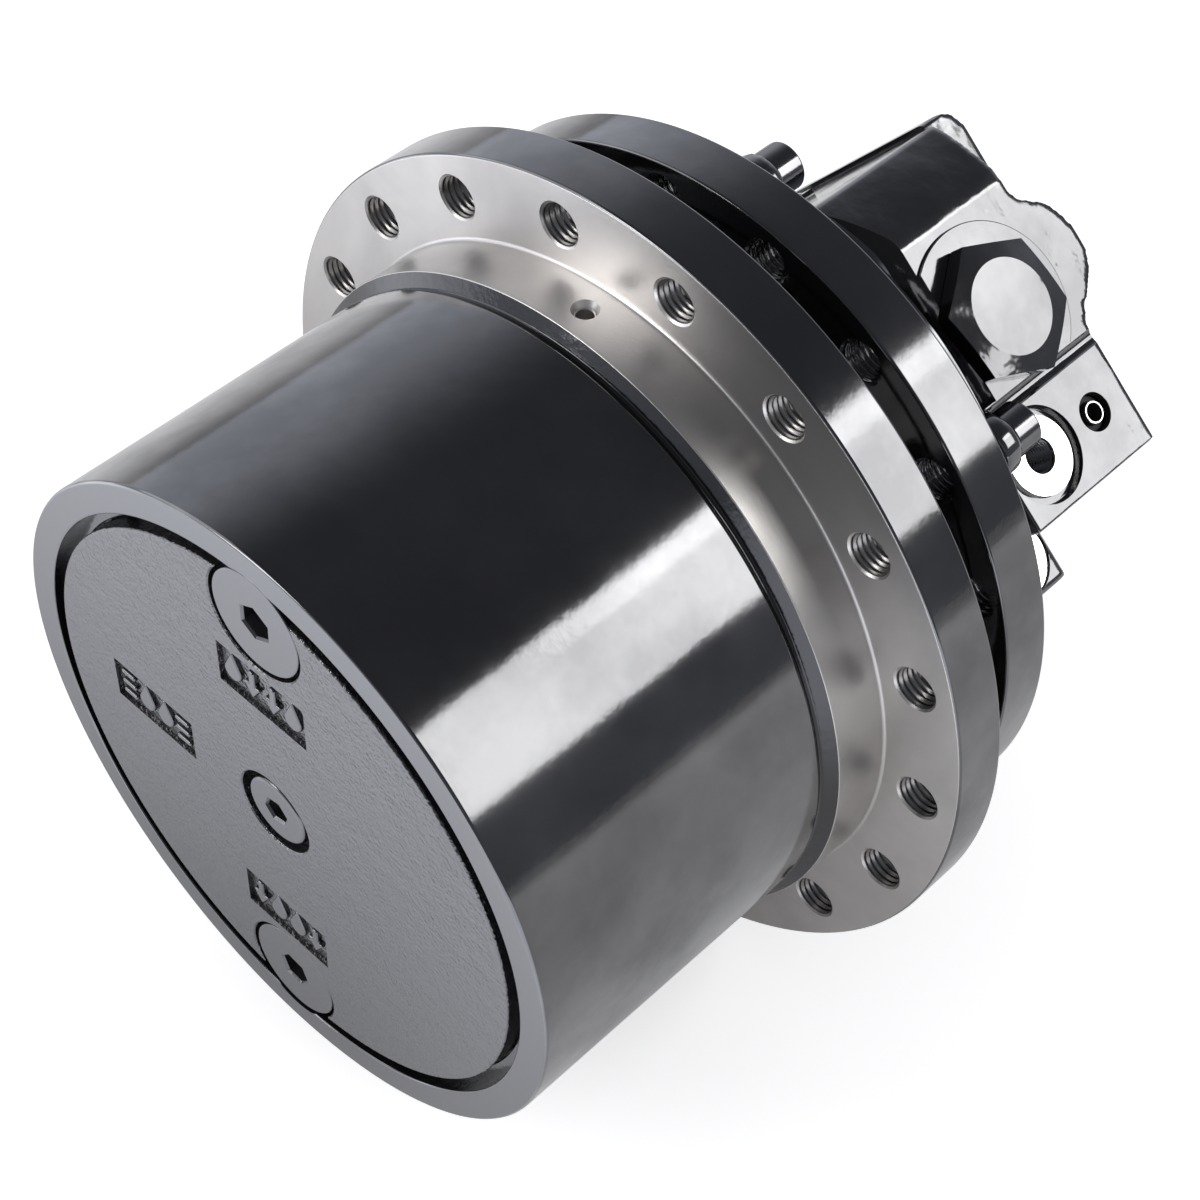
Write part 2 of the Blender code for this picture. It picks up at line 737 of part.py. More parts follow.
def make_spindle(paint):
    """The fixed body: planet pin plate, bearing neck, frame flange and the barrel round the motor."""
    neck = bearing_bore - 2 * gap
    seal_seat = seal_inner_radius - seal_seat_room
    seal_floor = spindle_flange_front + seal_floor_depth
    hood_front = seal_joint + hood_joint / 2
    shaft_bore = shaft_radius + shaft_clearance
    bearing_pocket = shaft_bearing_radius + gap
    pocket_front = swash_seat - shaft_bearing_width - 2 * gap
    disc_front = disc_stack_front
    brake_front = brake_piston_front + brake_nose_length
    front_edge = lathe_bevel(spindle_flange_radius, spindle_flange_front, flange_chamfer, -1, 1)
    back_edge = lathe_bevel(spindle_flange_radius, 0, flange_chamfer, -1, -1)
    profile = [
        (shaft_bore, spindle_front), (neck, spindle_front), (neck, rear_bearing_back + gap),
        (seal_seat, rear_bearing_back + gap), (seal_seat, seal_floor),
        (seal_chamber_radius, seal_floor), (seal_chamber_radius, hood_front),
        (hood_radius, hood_front), (hood_radius, spindle_flange_front),
        *front_edge, *back_edge[::-1], (barrel_radius, 0), (barrel_radius, barrel_back),
        (brake_bore_radius, barrel_back), (brake_bore_radius, brake_front),
        (disc_bore_radius, brake_front), (disc_bore_radius, disc_front),
        (swash_bore_radius, disc_front), (swash_bore_radius, swash_seat),
        (bearing_pocket, swash_seat), (bearing_pocket, pocket_front), (shaft_bore, pocket_front)]
    spindle = turned("spindle", profile, paint, drum_segments)

    def bolt_holes(bm):
        for place in around(bolt_count, spindle_bolt_circle, pi / 2 + pi / bolt_count):
            add_cylinder(bm, bolt_hole_radius, spindle_flange_front - gap, gap, place, hole_segments)

    def pins(bm):
        for angle in planet_angles:
            place = (centre_2 * cos(angle), centre_2 * sin(angle))
            add_cylinder(bm, planet_pin_radius, planet_2_front, spindle_front + pin_root, place)

    def screw_holes(bm):
        for angle in screw_angles:
            place = motor_place(screw_circle, angle)
            add_cylinder(bm, screw_radius + gap, screw_end() - gap, barrel_back + gap, place)

    change(spindle, solid("barrel_screw_cutter", screw_holes))
    change(spindle, solid("spindle_bolt_cutter", bolt_holes))
    change(spindle, solid("planet_pin_tool", pins), "UNION")


def screw_end():
    return case_flange_back - screw_length


def motor_place(radius, angle):
    """X and Z of a point given in the motor's turned axes."""
    return (radius * cos(valve_angle + angle), radius * sin(valve_angle + angle))


def make_gears(steel, carrier_steel):
    """Both planetary stages. The first carrier turns the second sun."""
    plate = turned("carrier_1", ring_profile(
        sun_2_hub_radius + gap, centre_1 + carrier_rim, carrier_front, carrier_back), carrier_steel)

    def pin_seats(bm):
        for angle in planet_angles:
            place = (centre_1 * cos(angle), centre_1 * sin(angle))
            add_cylinder(bm, planet_pin_radius + gap, carrier_front - gap, carrier_back + gap, place)

    change(plate, solid("carrier_pin_cutter", pin_seats))
    half_tooth_1 = pi / sun_1_teeth
    for letter, angle in zip("abc", planet_angles):
        place = (centre_1 * cos(angle), centre_1 * sin(angle))
        bore = circle(planet_pin_radius + gap, small_segments)
        flat_curve("planet_1" + letter, [external_gear(planet_1_teeth, angle), bore],
                   planet_1_front, planet_1_back, steel, place)
        head = planet_pin_radius + pin_head_overlap
        head_back = planet_1_front - side_play / 2
        turned("planet_pin_1" + letter, [
            (0, head_back - pin_head_height), (head, head_back - pin_head_height), (head, head_back),
            (planet_pin_radius, head_back), (planet_pin_radius, carrier_back), (0, carrier_back)],
            steel, small_segments, (place[0], 0, place[1]))
        place = (centre_2 * cos(angle), centre_2 * sin(angle))
        flat_curve("planet_2" + letter, [external_gear(planet_2_teeth, angle), bore],
                   planet_2_front, planet_2_back, steel, place)
    half_width = thrust_plate_width / 2
    turned("planet_thrust_plate", ring_profile(
        centre_2 - half_width, centre_2 + half_width, thrust_front, thrust_back), steel)
    sun_2_bore = sun_shaft_radius + sun_shaft_clearance
    sun_2 = flat_solid(
        "sun_gear_2", [external_gear(sun_2_teeth, planet_angles[0])],
        planet_2_front, planet_2_back - side_play, steel)

    def sun_2_hub(bm):
        add_cylinder(bm, sun_2_hub_radius, carrier_front, planet_2_front + sun_root)

    def sun_2_hole(bm):
        add_cylinder(bm, sun_2_bore, carrier_front - gap, planet_2_back + gap)

    change(sun_2, solid("sun_2_hub_tool", sun_2_hub), "UNION")
    change(sun_2, solid("sun_2_bore_cutter", sun_2_hole))
    sun_1 = flat_solid(
        "sun_gear_1", [external_gear(sun_1_teeth, planet_angles[0] + half_tooth_1)],
        planet_1_front, planet_1_back, steel)

    def sun_1_shaft(bm):
        add_cylinder(bm, sun_shaft_radius, planet_1_back - sun_root, spindle_front + sleeve_overlap)

    change(sun_1, solid("sun_1_shaft_tool", sun_1_shaft), "UNION")


def make_motor(steel, bronze, iron):
    """Shaft, cylinder block, pistons, shoe plate, swash plate and valve plate."""
    sleeve_bore = sun_shaft_radius + gap
    sleeve_end = spindle_front + sleeve_overlap + gap
    turned("motor_shaft", [
        (sleeve_bore, spindle_front + side_play), (shaft_radius, spindle_front + side_play),
        (shaft_radius, block_back - shaft_step_inset), (journal_radius, block_back - shaft_step_inset),
        (journal_radius, shaft_back), (0, shaft_back), (0, sleeve_end), (sleeve_bore, sleeve_end)],
        steel, small_segments)
    turned("shaft_bearing", ring_profile(
        shaft_radius + gap, shaft_bearing_radius, swash_seat - gap - shaft_bearing_width,
        swash_seat - gap), steel, small_segments)
    swash = turned("swash_plate", ring_profile(
        shaft_radius + swash_bore_clearance, swash_radius, swash_seat + gap,
        swash_seat + 2 * swash_middle), iron)
    tilt = Matrix.Rotation(swash_angle, 4, "X")
    swash_centre = Vector((0, swash_seat + gap + swash_middle, 0))

    def tilted_space(bm):
        box = bmesh.ops.create_cube(bm, size=1)["verts"]
        size = Matrix.Diagonal((3 * swash_radius, swash_radius, 3 * swash_radius, 1))
        lift = Matrix.Translation((0, swash_radius / 2, 0))
        bmesh.ops.transform(
            bm, matrix=Matrix.Translation(swash_centre) @ tilt @ lift @ size, verts=box)

    change(swash, solid("swash_tilt_cutter", tilted_space))
    shoe = turned("shoe_plate", ring_profile(
        shoe_plate_bore, shoe_plate_radius, gap, gap + shoe_plate_thickness), bronze)
    shoe.location = swash_centre
    shoe.rotation_euler = (swash_angle, 0, 0)
    places = around(piston_count, piston_circle, pi / 2)

    def sockets(bm):
        for place in places:
            bottom = gap + shoe_plate_thickness - shoe_socket_depth
            add_cylinder(
                bm, shoe_socket_radius, bottom, 2 * shoe_plate_thickness, place, hole_segments)

    socket_tool = solid("shoe_socket_cutter", sockets)
    socket_tool.location = swash_centre
    socket_tool.rotation_euler = (swash_angle, 0, 0)
    change(shoe, socket_tool)
    block = turned("cylinder_block", ring_profile(
        shaft_radius + gap, block_radius, block_front, block_back), iron)

    def bores(bm):
        for place in places:
            add_cylinder(
                bm, piston_radius + gap, block_front - gap, block_back - block_floor, place,
                hole_segments)

    change(block, solid("block_bore_cutter", bores))
    rise = piston_circle * tan(swash_angle)
    socket_floor = swash_centre.y + gap + shoe_plate_thickness - shoe_socket_depth
    neck_front = socket_floor + rise + 2 * gap
    body_front = neck_front + piston_neck_length
    body_back = block_back - block_floor - piston_floor_gap
    for i, (x, z) in enumerate(places):
        turned("piston_" + str(i + 1), [
            (0, neck_front), (piston_neck_radius, neck_front), (piston_neck_radius, body_front),
            (piston_radius, body_front), (piston_radius, body_back), (0, body_back)],
            steel, hole_segments, (x, 0, z))
    turned("valve_plate", ring_profile(
        journal_radius + 2 * gap, valve_plate_radius, valve_plate_front, valve_plate_back - gap), bronze)


def make_brake(steel, friction, spring_steel):
    """Discs between the block and the spindle, the ring piston that squeezes them and its spring."""
    y = disc_stack_front + gap
    for i in range(disc_pairs):
        turned("brake_plate_" + str(i + 1), ring_profile(
            block_radius + disc_room, disc_bore_radius - gap, y, y + disc_thickness), steel)
        y += disc_thickness + gap
        turned("brake_disc_" + str(i + 1), ring_profile(
            block_radius + gap, disc_bore_radius - disc_room, y, y + disc_thickness), friction)
        y += disc_thickness + gap
    outer = brake_bore_radius - gap
    inner = block_radius + block_clearance
    nose_back = brake_piston_front + brake_nose_length + brake_travel / 2
    turned("brake_piston", [
        (inner, brake_piston_front), (disc_bore_radius - gap, brake_piston_front),
        (disc_bore_radius - gap, nose_back), (outer, nose_back), (outer, brake_piston_back),
        (inner, brake_piston_back)], steel)
    low = brake_piston_back + gap
    high = brake_spring_back
    turned("brake_spring", [
        (inner, low), (outer, high - brake_spring_thickness), (outer, high),
        (inner, low + brake_spring_thickness)], spring_steel)


def motor_axes():
    """The empty that carries everything set out in the motor's turned axes."""
    result = bpy.data.objects.new("motor_axes", None)
    parts.objects.link(result)
    result.rotation_euler = (0, -valve_angle, 0)
    return result


def make_motor_case(paint, axes):
    """The cast case: round base flange, cut-off cylinder, valve pads, port blocks and their bores."""
    case = turned("motor_case", [
        (block_radius + block_clearance, case_front), (barrel_radius, case_front),
        (barrel_radius, case_flange_back), (block_radius + block_clearance, case_flange_back)],
        paint, drum_segments, parent=axes)
    # The cast body is a cylinder with flats; its lower corner under the valve is the port block.
    cast_half_depth = case_half_depth + cast_stock
    front = acos(cast_half_depth / case_radius)
    side = asin(case_half_width / case_radius)
    turns = [front + (side - front) * i / case_corner_steps for i in range(case_corner_steps + 1)]
    corner = [(case_radius * cos(turn), case_radius * sin(turn)) for turn in turns]
    outline = corner + [(-x, z) for x, z in reversed(corner)] + [(-x, -z) for x, z in corner]
    outline += [(0, -case_half_width), (0, port_block_bottom), (cast_half_depth, port_block_bottom)]
    cast_front = case_flange_back - 2 * cast_stock
    cast_back = case_end_y + 2 * cast_stock
    body = flat_solid("case_body_tool", [outline], cast_front, cast_back, parent=axes)

    def lower_port(bm):
        top = lower_port_z + lower_port_half + lower_port_root
        start = case_flange_back - cast_stock
        add_box(bm, (-lower_port_reach, start, lower_port_z - lower_port_half),
                (lower_port_reach, port_y + lower_port_half, top))

    def ears(bm):
        for angle in screw_angles:
            place = (screw_circle * cos(angle), screw_circle * sin(angle))
            add_cylinder(
                bm, ear_radius, case_front + gap, case_flange_back - gap, place, screw_segments)

    def rear_face(bm):
        far = 2 * case_half_depth
        add_box(bm, (-far, case_end_y, -far), (far, far, far))

    def lobe_ends(bm):
        for way in (-1, 1):
            ends = sorted((way * (rear_half_depth + lobe_joint), way * (cast_half_depth + cast_stock)))
            add_cross_cylinder(bm, lobe_radius, ends[0], ends[1], lobe_y, lobe_z, ring_segments)

    def beside(bm, depth, front, back, bottom, top):
        for way in (-1, 1):
            low, high = sorted((way * depth, way * 2 * case_half_depth))
            add_box(bm, (low, front, bottom), (high, back, top))

    def pads(bm):
        far = 2 * case_half_depth
        beside(bm, case_half_depth, case_flange_back, far, -far, far)

    def recesses(bm):
        beside(bm, recess_floor, case_flange_back, recess_back, recess_bottom, recess_top)

    def grooves(bm):
        beside(bm, recess_floor, case_flange_back, cast_back, port_block_top, pad_bottom)

    def seats(bm):
        for way in (-1, 1):
            ends = sorted((way * (recess_floor - cap_seat_root), way * (case_half_depth + cap_seat_height)))
            add_cross_cylinder(bm, cap_seat_radius, ends[0], ends[1], cap_y, cap_z, ring_segments)

    recess_floor = case_half_depth - recess_depth
    change(body, solid("lower_port_tool", lower_port, parent=axes), "UNION")
    change(body, solid("case_ear_tool", ears, parent=axes), "UNION")
    change(case, body, "UNION")
    change(case, solid("case_rear_cutter", rear_face, parent=axes))
    change(case, solid("case_lobe_tool", lobe_ends, parent=axes), "UNION")
    for name, build in (("case_pad_cutter", pads), ("case_recess_cutter", recesses),
                        ("case_groove_cutter", grooves)):
        change(case, solid(name, build, parent=axes))
    change(case, solid("cap_seat_tool", seats, parent=axes), "UNION")
    room = block_radius + block_clearance
    bored(case, "case_bore_cutter", [
        (0, case_front - gap), (room, case_front - gap), (room, valve_plate_back),
        (journal_radius + gap, valve_plate_back), (journal_radius + gap, shaft_back + gap),
        (0, shaft_back + gap)], axes, (0, 0, 0), False)
    for number, angle in enumerate(screw_angles):
        place = (screw_circle * cos(angle), 0, screw_circle * sin(angle))
        head_back = case_flange_back + screw_head_height + gap
        bored(case, "case_screw_cutter_" + str(number), [
            (0, case_front - gap), (screw_radius + gap, case_front - gap),
            (screw_radius + gap, case_flange_back), (screw_head_radius + 2 * gap, case_flange_back),
            (screw_head_radius + 2 * gap, head_back), (0, head_back)],
            axes, place, False, screw_segments)
    far = case_half_depth + cap_seat_height + gap
    near = case_half_depth - cap_plug_length - gap
    cap_bore = cap_plug_radius + gap
    spool_bore = spool_radius + gap
    bored(case, "valve_bore_cutter", [
        (0, -far), (cap_bore, -far), (cap_bore, -near), (spool_bore, -near), (spool_bore, near),
        (cap_bore, near), (cap_bore, far), (0, far)], axes, (0, cap_y, cap_z), True)
    for name, face, place in (
            ("port_cutter", case_half_depth, (0, port_y, port_z)),
            ("lower_port_cutter", lower_port_reach, (0, port_y, lower_port_z))):
        floor = face - port_bore_depth
        bored(case, name, [
            (0, floor), (port_bore_radius, floor), (port_bore_radius, face - port_face_depth),
            (port_face_radius, face - port_face_depth), (port_face_radius, face + gap),
            (0, face + gap)], axes, place, True)
    gauge_bore = gauge_radius + gap
    bored(case, "gauge_cutter", [
        (0, case_half_depth - gauge_length), (gauge_bore, case_half_depth - gauge_length),
        (gauge_bore, case_half_depth + gap), (0, case_half_depth + gap)],
        axes, (0, gauge_y, port_z), True)


def bored(target, name, profile, axes, place, across, segments=small_segments):
    """Cuts a turned hole, along the drive axis or across it along the motor's X."""
    tool = turned(name, profile, None, segments, place, axes)
    if across:
        tool.rotation_euler = (0, 0, -pi / 2)
    change(target, tool)


def make_case_screws(steel, axes):
    for number, angle in enumerate(screw_angles):
        place = (screw_circle * cos(angle), screw_circle * sin(angle))
        seat = case_flange_back + gap
        head_end = case_flange_back + screw_head_height
        screw = turned("case_screw_" + str(number + 1), [
            (0, screw_end()), (screw_radius, screw_end()), (screw_radius, seat),
            (screw_head_radius, seat), (screw_head_radius, head_end - screw_chamfer),
            (screw_head_radius - screw_chamfer, head_end), (0, head_end)],
            steel, screw_segments, (place[0], 0, place[1]), axes)
        socket = flat_solid(
            screw.name + "_socket_cutter", [hexagon(screw_socket_width)],
            head_end - screw_head_height / 2, head_end + gap, place=place, parent=axes)
        change(screw, socket)


def cross_piece(name, profile, material, axes, y, z, segments=small_segments):
    """A turned piece whose own axis lies along the motor's X."""
    result = turned(name, profile, material, segments, (0, y, z), axes)
    result.rotation_euler = (0, 0, -pi / 2)
    return result


def make_valve_pieces(paint, steel, axes):
    """The counterbalance spool, its two hex caps and the small socket plug beside the port."""
    face = case_half_depth + cap_seat_height
    hex_end = face + cap_head_height
    for name, way in (("valve_cap_a", 1), ("valve_cap_b", -1)):
        cap = cross_piece(name, [
            (0, way * (face - cap_plug_length - cap_seat_height)),
            (cap_plug_radius, way * (face - cap_plug_length - cap_seat_height)),
            (cap_plug_radius, way * (face + gap)), (cap_across_flats / sqrt(3) + gap, way * (face + gap)),
            (cap_across_flats / sqrt(3) + gap, way * (hex_end - cap_bevel_height)),
            (cap_face_radius, way * hex_end), (0, way * hex_end)], paint, axes, cap_y, cap_z, ring_segments)

        def prism(bm, way=way):
            turn = Matrix.Rotation(pi / 2, 4, "Y")
            radius = cap_across_flats / sqrt(3)
            reach = hex_end + gap
            ends = sorted((way * reach, way * (case_half_depth - cap_plug_length - gap)))
            move = Matrix.Translation(((ends[0] + ends[1]) / 2, cap_y, cap_z))
            spin = Matrix.Rotation(cap_turn, 4, "X")
            bmesh.ops.create_cone(
                bm, cap_ends=True, segments=6, radius1=radius, radius2=radius,
                depth=ends[1] - ends[0], matrix=move @ spin @ turn)

        change(cap, solid(name + "_hex_tool", prism, parent=axes), "INTERSECT")
    spool_end = case_half_depth - cap_plug_length - spool_travel - 4 * gap
    neck = spool_end - spool_land
    cross_piece("counterbalance_spool", [
        (0, -spool_end), (spool_radius, -spool_end), (spool_radius, -neck), (spool_neck_radius, -neck),
        (spool_neck_radius, neck), (spool_radius, neck), (spool_radius, spool_end), (0, spool_end)],
        steel, axes, cap_y, cap_z, screw_segments)
    plug_end = case_half_depth - gauge_inset
    plug_start = plug_end - gauge_length + gauge_floor_gap
    plug = cross_piece("gauge_plug", [
        (0, plug_start), (gauge_radius, plug_start), (gauge_radius, plug_end), (0, plug_end)],
        steel, axes, gauge_y, port_z)

    def socket(bm):
        turn = Matrix.Rotation(pi / 2, 4, "Y")
        move = Matrix.Translation((plug_end, gauge_y, port_z))
        radius = gauge_socket_width / sqrt(3)
        bmesh.ops.create_cone(
            bm, cap_ends=True, segments=6, radius1=radius, radius2=radius, depth=gauge_length,
            matrix=move @ turn)

    change(plug, solid("gauge_socket_cutter", socket, parent=axes))


def make_rear_cover(paint, steel, axes):
    """The rear slab with its two rounded lobes and screw holes, and the bare plate on the case."""
    outline = rounded_rectangle(rear_half_depth, rear_half_width, rear_corner)
    cover = flat_solid("rear_cover", [outline], rear_front, rear_back, paint, parent=axes)

    def lobes(bm):
        reach = rear_half_depth
        add_cross_cylinder(bm, lobe_radius, -reach, reach, lobe_y, lobe_z, ring_segments)
        add_cross_cylinder(bm, corner_lobe_radius, -reach, reach, corner_lobe_y, corner_lobe_z)

    def case_space(bm):
        far = 2 * case_half_depth
        add_box(bm, (-far, 0, -far), (far, rear_front, far))

    corners = [(x, z - rear_screw_drop) for x in (rear_screw_depth, -rear_screw_depth)
               for z in (rear_screw_width, -rear_screw_width)]
    change(cover, solid("rear_lobe_tool", lobes, parent=axes), "UNION")
    change(cover, solid("rear_space_cutter", case_space, parent=axes))
    for number, (x, z) in enumerate(corners):
        end = rear_back + lobe_radius
        head_seat = rear_back - rear_screw_inset
        bored(cover, "rear_screw_cutter_" + str(number), [
            (0, rear_front - gap), (rear_screw_radius + gap, rear_front - gap),
            (rear_screw_radius + gap, head_seat), (rear_screw_head_radius, head_seat),
            (rear_screw_head_radius, end), (0, end)], axes, (x, 0, z), False, screw_segments)
    low = (-plate_length / 2, plate_y - plate_height / 2, case_half_width + gap)
    high = (plate_length / 2, plate_y + plate_height / 2, case_half_width + gap + plate_thickness)
    solid("data_plate", lambda bm: add_box(bm, low, high), steel, axes)


def main():
    clear_scene()
    black = make_material("gloss_black_paint", (0.012, 0.012, 0.013), 0.18, 0.0)
    cast_black = make_material("cast_black_paint", (0.02, 0.02, 0.021), 0.32, 0.0)
    steel = make_material("machined_steel", (0.42, 0.41, 0.40), 0.34, 1.0)
    polished = make_material("polished_steel", (0.72, 0.71, 0.69), 0.16, 1.0)
    gear_steel = make_material("hardened_gear_steel", (0.33, 0.32, 0.31), 0.3, 1.0)
    iron = make_material("grey_iron", (0.17, 0.17, 0.165), 0.5, 0.9)
    bronze = make_material("bronze", (0.55, 0.36, 0.16), 0.35, 1.0)
    friction = make_material("friction_lining", (0.11, 0.085, 0.06), 0.85, 0.0)
    rubber = make_material("nitrile_rubber", (0.014, 0.014, 0.014), 0.6, 0.0)
    axes = motor_axes()
    make_hub(black)
    make_end_cover(cast_black, steel)
    make_bearing("front_bearing", front_bearing_front, steel, bronze, False)
    make_bearing("rear_bearing", rear_bearing_front, steel, bronze, True)
    make_bearing_nut(steel)
    make_seal(steel, rubber)
    make_spindle(black)
    make_gears(gear_steel, iron)
    make_motor(steel, bronze, iron)
    make_brake(steel, friction, steel)
    make_motor_case(cast_black, axes)
    make_case_screws(polished, axes)
    make_valve_pieces(black, steel, axes)
    make_rear_cover(cast_black, steel, axes)


main()
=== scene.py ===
import json
from math import atan2, ceil, cos, pi, radians, sin, sqrt, tan

import bmesh
import bpy
from mathutils import Matrix, Vector


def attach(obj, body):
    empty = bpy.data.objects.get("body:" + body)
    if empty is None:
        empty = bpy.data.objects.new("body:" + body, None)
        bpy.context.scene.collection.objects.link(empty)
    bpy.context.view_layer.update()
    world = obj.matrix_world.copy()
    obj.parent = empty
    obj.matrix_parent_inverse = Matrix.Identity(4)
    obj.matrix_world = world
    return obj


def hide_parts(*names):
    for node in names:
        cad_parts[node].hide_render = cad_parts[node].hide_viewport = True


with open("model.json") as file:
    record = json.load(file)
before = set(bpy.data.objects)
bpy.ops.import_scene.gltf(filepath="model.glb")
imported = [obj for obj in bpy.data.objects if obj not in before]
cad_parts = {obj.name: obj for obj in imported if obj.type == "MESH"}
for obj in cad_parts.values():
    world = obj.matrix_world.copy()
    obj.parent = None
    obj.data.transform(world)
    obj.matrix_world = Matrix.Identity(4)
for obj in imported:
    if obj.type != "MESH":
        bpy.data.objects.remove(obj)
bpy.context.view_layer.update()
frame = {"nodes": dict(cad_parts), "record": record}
print("frame loaded:", len(frame["nodes"]), "nodes")


# camera, set out from the photo's own perspective
view = {
    "lens": 75.92,
    "sensor": 36.0,
    "place": (0.3521, -0.4457, 0.5848),
    "right": (0.71757513, 0.69596508, 0.02680564),
    "up": (-0.53796952, 0.52940795, 0.65598477),
    "forward": (-0.44235137, 0.48513897, -0.75429798),
}
cameraData = bpy.data.cameras.new("photoCamera")
cameraData.lens = view["lens"]
cameraData.sensor_width = view["sensor"]
cameraData.clip_start = 0.01
camera = bpy.data.objects.new("photoCamera", cameraData)
bpy.context.scene.collection.objects.link(camera)
axes = [Vector(view["right"]), Vector(view["up"]), -Vector(view["forward"])]
turn = Matrix([[axis[row] for axis in axes] for row in range(3)]).to_4x4()
camera.matrix_world = Matrix.Translation(view["place"]) @ turn
bpy.context.scene.camera = camera
bpy.context.scene.view_settings.view_transform = "Standard"


# mesh helpers
def roundedLoop(points, arcSteps=4):
    # a point with a third number gets an arc of that radius
    loop = []
    for i, point in enumerate(points):
        if len(point) == 2:
            loop.append(tuple(point))
            continue
        corner = Vector(point[:2])
        before = Vector(points[i - 1][:2]) - corner
        after = Vector(points[(i + 1) % len(points)][:2]) - corner
        half = before.angle(after) / 2
        reach = min(point[2] / tan(half), before.length * 0.49, after.length * 0.49)
        radius = reach * tan(half)
        middle = (before.normalized() + after.normalized()).normalized()
        centre = corner + middle * (radius / sin(half))
        start = corner + before.normalized() * reach - centre
        end = corner + after.normalized() * reach - centre
        first = atan2(start.y, start.x)
        sweep = (atan2(end.y, end.x) - first + pi) % (2 * pi) - pi
        for k in range(arcSteps + 1):
            angle = first + sweep * k / arcSteps
            loop.append((centre.x + radius * cos(angle), centre.y + radius * sin(angle)))
    return loop


def turnedMesh(bm, points, steps=160, place=(0, 0, 0), across=False, arcSteps=4):
    # a closed profile of (radius, along) turned about Y, or about X where it lies across
    loop = roundedLoop(points, arcSteps)
    rings = []
    for radius, along in loop:
        if radius < 1e-7:
            rings.append([bm.verts.new((0, along, 0))])
            continue
        rings.append([
            bm.verts.new((radius * sin(2 * pi * k / steps), along, radius * cos(2 * pi * k / steps)))
            for k in range(steps)])
    made = [v for ring in rings for v in ring]
    for i, ring in enumerate(rings):
        other = rings[(i + 1) % len(rings)]
        if len(ring) == 1 and len(other) == 1:
            continue
        for k in range(steps):
            n = (k + 1) % steps
            corners = [ring[k % len(ring)], ring[n % len(ring)], other[n % len(other)], other[k % len(other)]]
            face = []
            for v in corners:
                if v not in face:
                    face.append(v)
            bm.faces.new(face)
    if across:
        bmesh.ops.transform(bm, matrix=Matrix.Rotation(-pi / 2, 4, "Z"), verts=made)
    bmesh.ops.translate(bm, vec=place, verts=made)
    return made


def prism(bm, outline, low, high, axis="y", place=(0, 0, 0)):
    # an outline of (across, up) points between two planes
    def spot(a, b, c):
        return {"y": (a, c, b), "x": (c, a, b)}[axis]

    ends = [[bm.verts.new(spot(a, b, c)) for a, b in outline] for c in (low, high)]
    for end in ends:
        bm.faces.new(end)
    for k in range(len(outline)):
        n = (k + 1) % len(outline)
        bm.faces.new([ends[0][k], ends[0][n], ends[1][n], ends[1][k]])
    made = ends[0] + ends[1]
    bmesh.ops.translate(bm, vec=place, verts=made)
    return made


def flipped(profile, way):
    return [(point[0], way * point[1], *point[2:]) for point in profile]


def block(bm, low, high):
    sizes = [h - l for l, h in zip(low, high)]
    middle = [(l + h) / 2 for l, h in zip(low, high)]
    matrix = Matrix.Translation(middle) @ Matrix.Diagonal((*sizes, 1))
    return bmesh.ops.create_cube(bm, size=1, matrix=matrix)["verts"]


def hexagon(acrossFlats, start=0.0):
    radius = acrossFlats / sqrt(3)
    return [(radius * cos(start + pi * k / 3), radius * sin(start + pi * k / 3)) for k in range(6)]


def around(count, radius, start):
    # places on a circle, the angle counted from the top towards +X
    angles = [start + 2 * pi * k / count for k in range(count)]
    return [(radius * sin(a), radius * cos(a)) for a in angles]


motorAngle = radians(50)
motorTurn = Matrix.Rotation(-motorAngle, 4, "Y")
motorAcross = Vector((cos(motorAngle), 0, sin(motorAngle)))
motorUp = Vector((-sin(motorAngle), 0, cos(motorAngle)))
shades = {}


def finishMesh(bm, name, turned=False):
    bmesh.ops.recalc_face_normals(bm, faces=bm.faces)
    if turned:
        bmesh.ops.transform(bm, matrix=motorTurn, verts=bm.verts)
    mesh = bpy.data.meshes.new(name)
    bm.to_mesh(mesh)
    bm.free()
    return mesh


def addPiece(name, bm, material, turned=False):
    piece = bpy.data.objects.new(name, finishMesh(bm, name, turned))
    bpy.context.scene.collection.objects.link(piece)
    piece.data.materials.append(shades[material])
    return piece


def applied(piece):
    bpy.context.view_layer.update()
    graph = bpy.context.evaluated_depsgraph_get()
    mesh = bpy.data.meshes.new_from_object(piece.evaluated_get(graph))
    piece.modifiers.clear()
    piece.data = mesh


def change(piece, bm, operation="DIFFERENCE", turned=False):
    tool = bpy.data.objects.new(piece.name + "Tool", finishMesh(bm, piece.name + "Tool", turned))
    bpy.context.scene.collection.objects.link(tool)
    modifier = piece.modifiers.new("change", "BOOLEAN")
    modifier.object = tool
    modifier.solver = "EXACT"
    modifier.operation = operation
    applied(piece)
    bpy.data.objects.remove(tool)


def edged(piece, width, segments, angle=30):
    bevel = piece.modifiers.new("edges", "BEVEL")
    bevel.width, bevel.segments, bevel.limit_method = width, segments, "ANGLE"
    bevel.angle_limit = radians(angle)
    applied(piece)


def smoothed(piece, angle=32):
    piece.data.shade_smooth()
    piece.data.set_sharp_from_angle(angle=radians(angle))
    modifier = piece.modifiers.new("evenNormals", "WEIGHTED_NORMAL")
    modifier.keep_sharp = True


def painted(piece, material, belongs):
    # faces whose middle and normal pass the test get a second finish
    if material not in [m.name for m in piece.data.materials]:
        piece.data.materials.append(shades[material])
    index = [m.name for m in piece.data.materials].index(material)
    for face in piece.data.polygons:
        c, n = face.center, face.normal
        if belongs(sqrt(c.x * c.x + c.z * c.z), c.y, c, n):
            face.material_index = index


def placed(piece, body, slot, *nodes, angle=32):
    smoothed(piece, angle)
    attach(piece, body)
    if nodes:
        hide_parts(*nodes)
    return piece


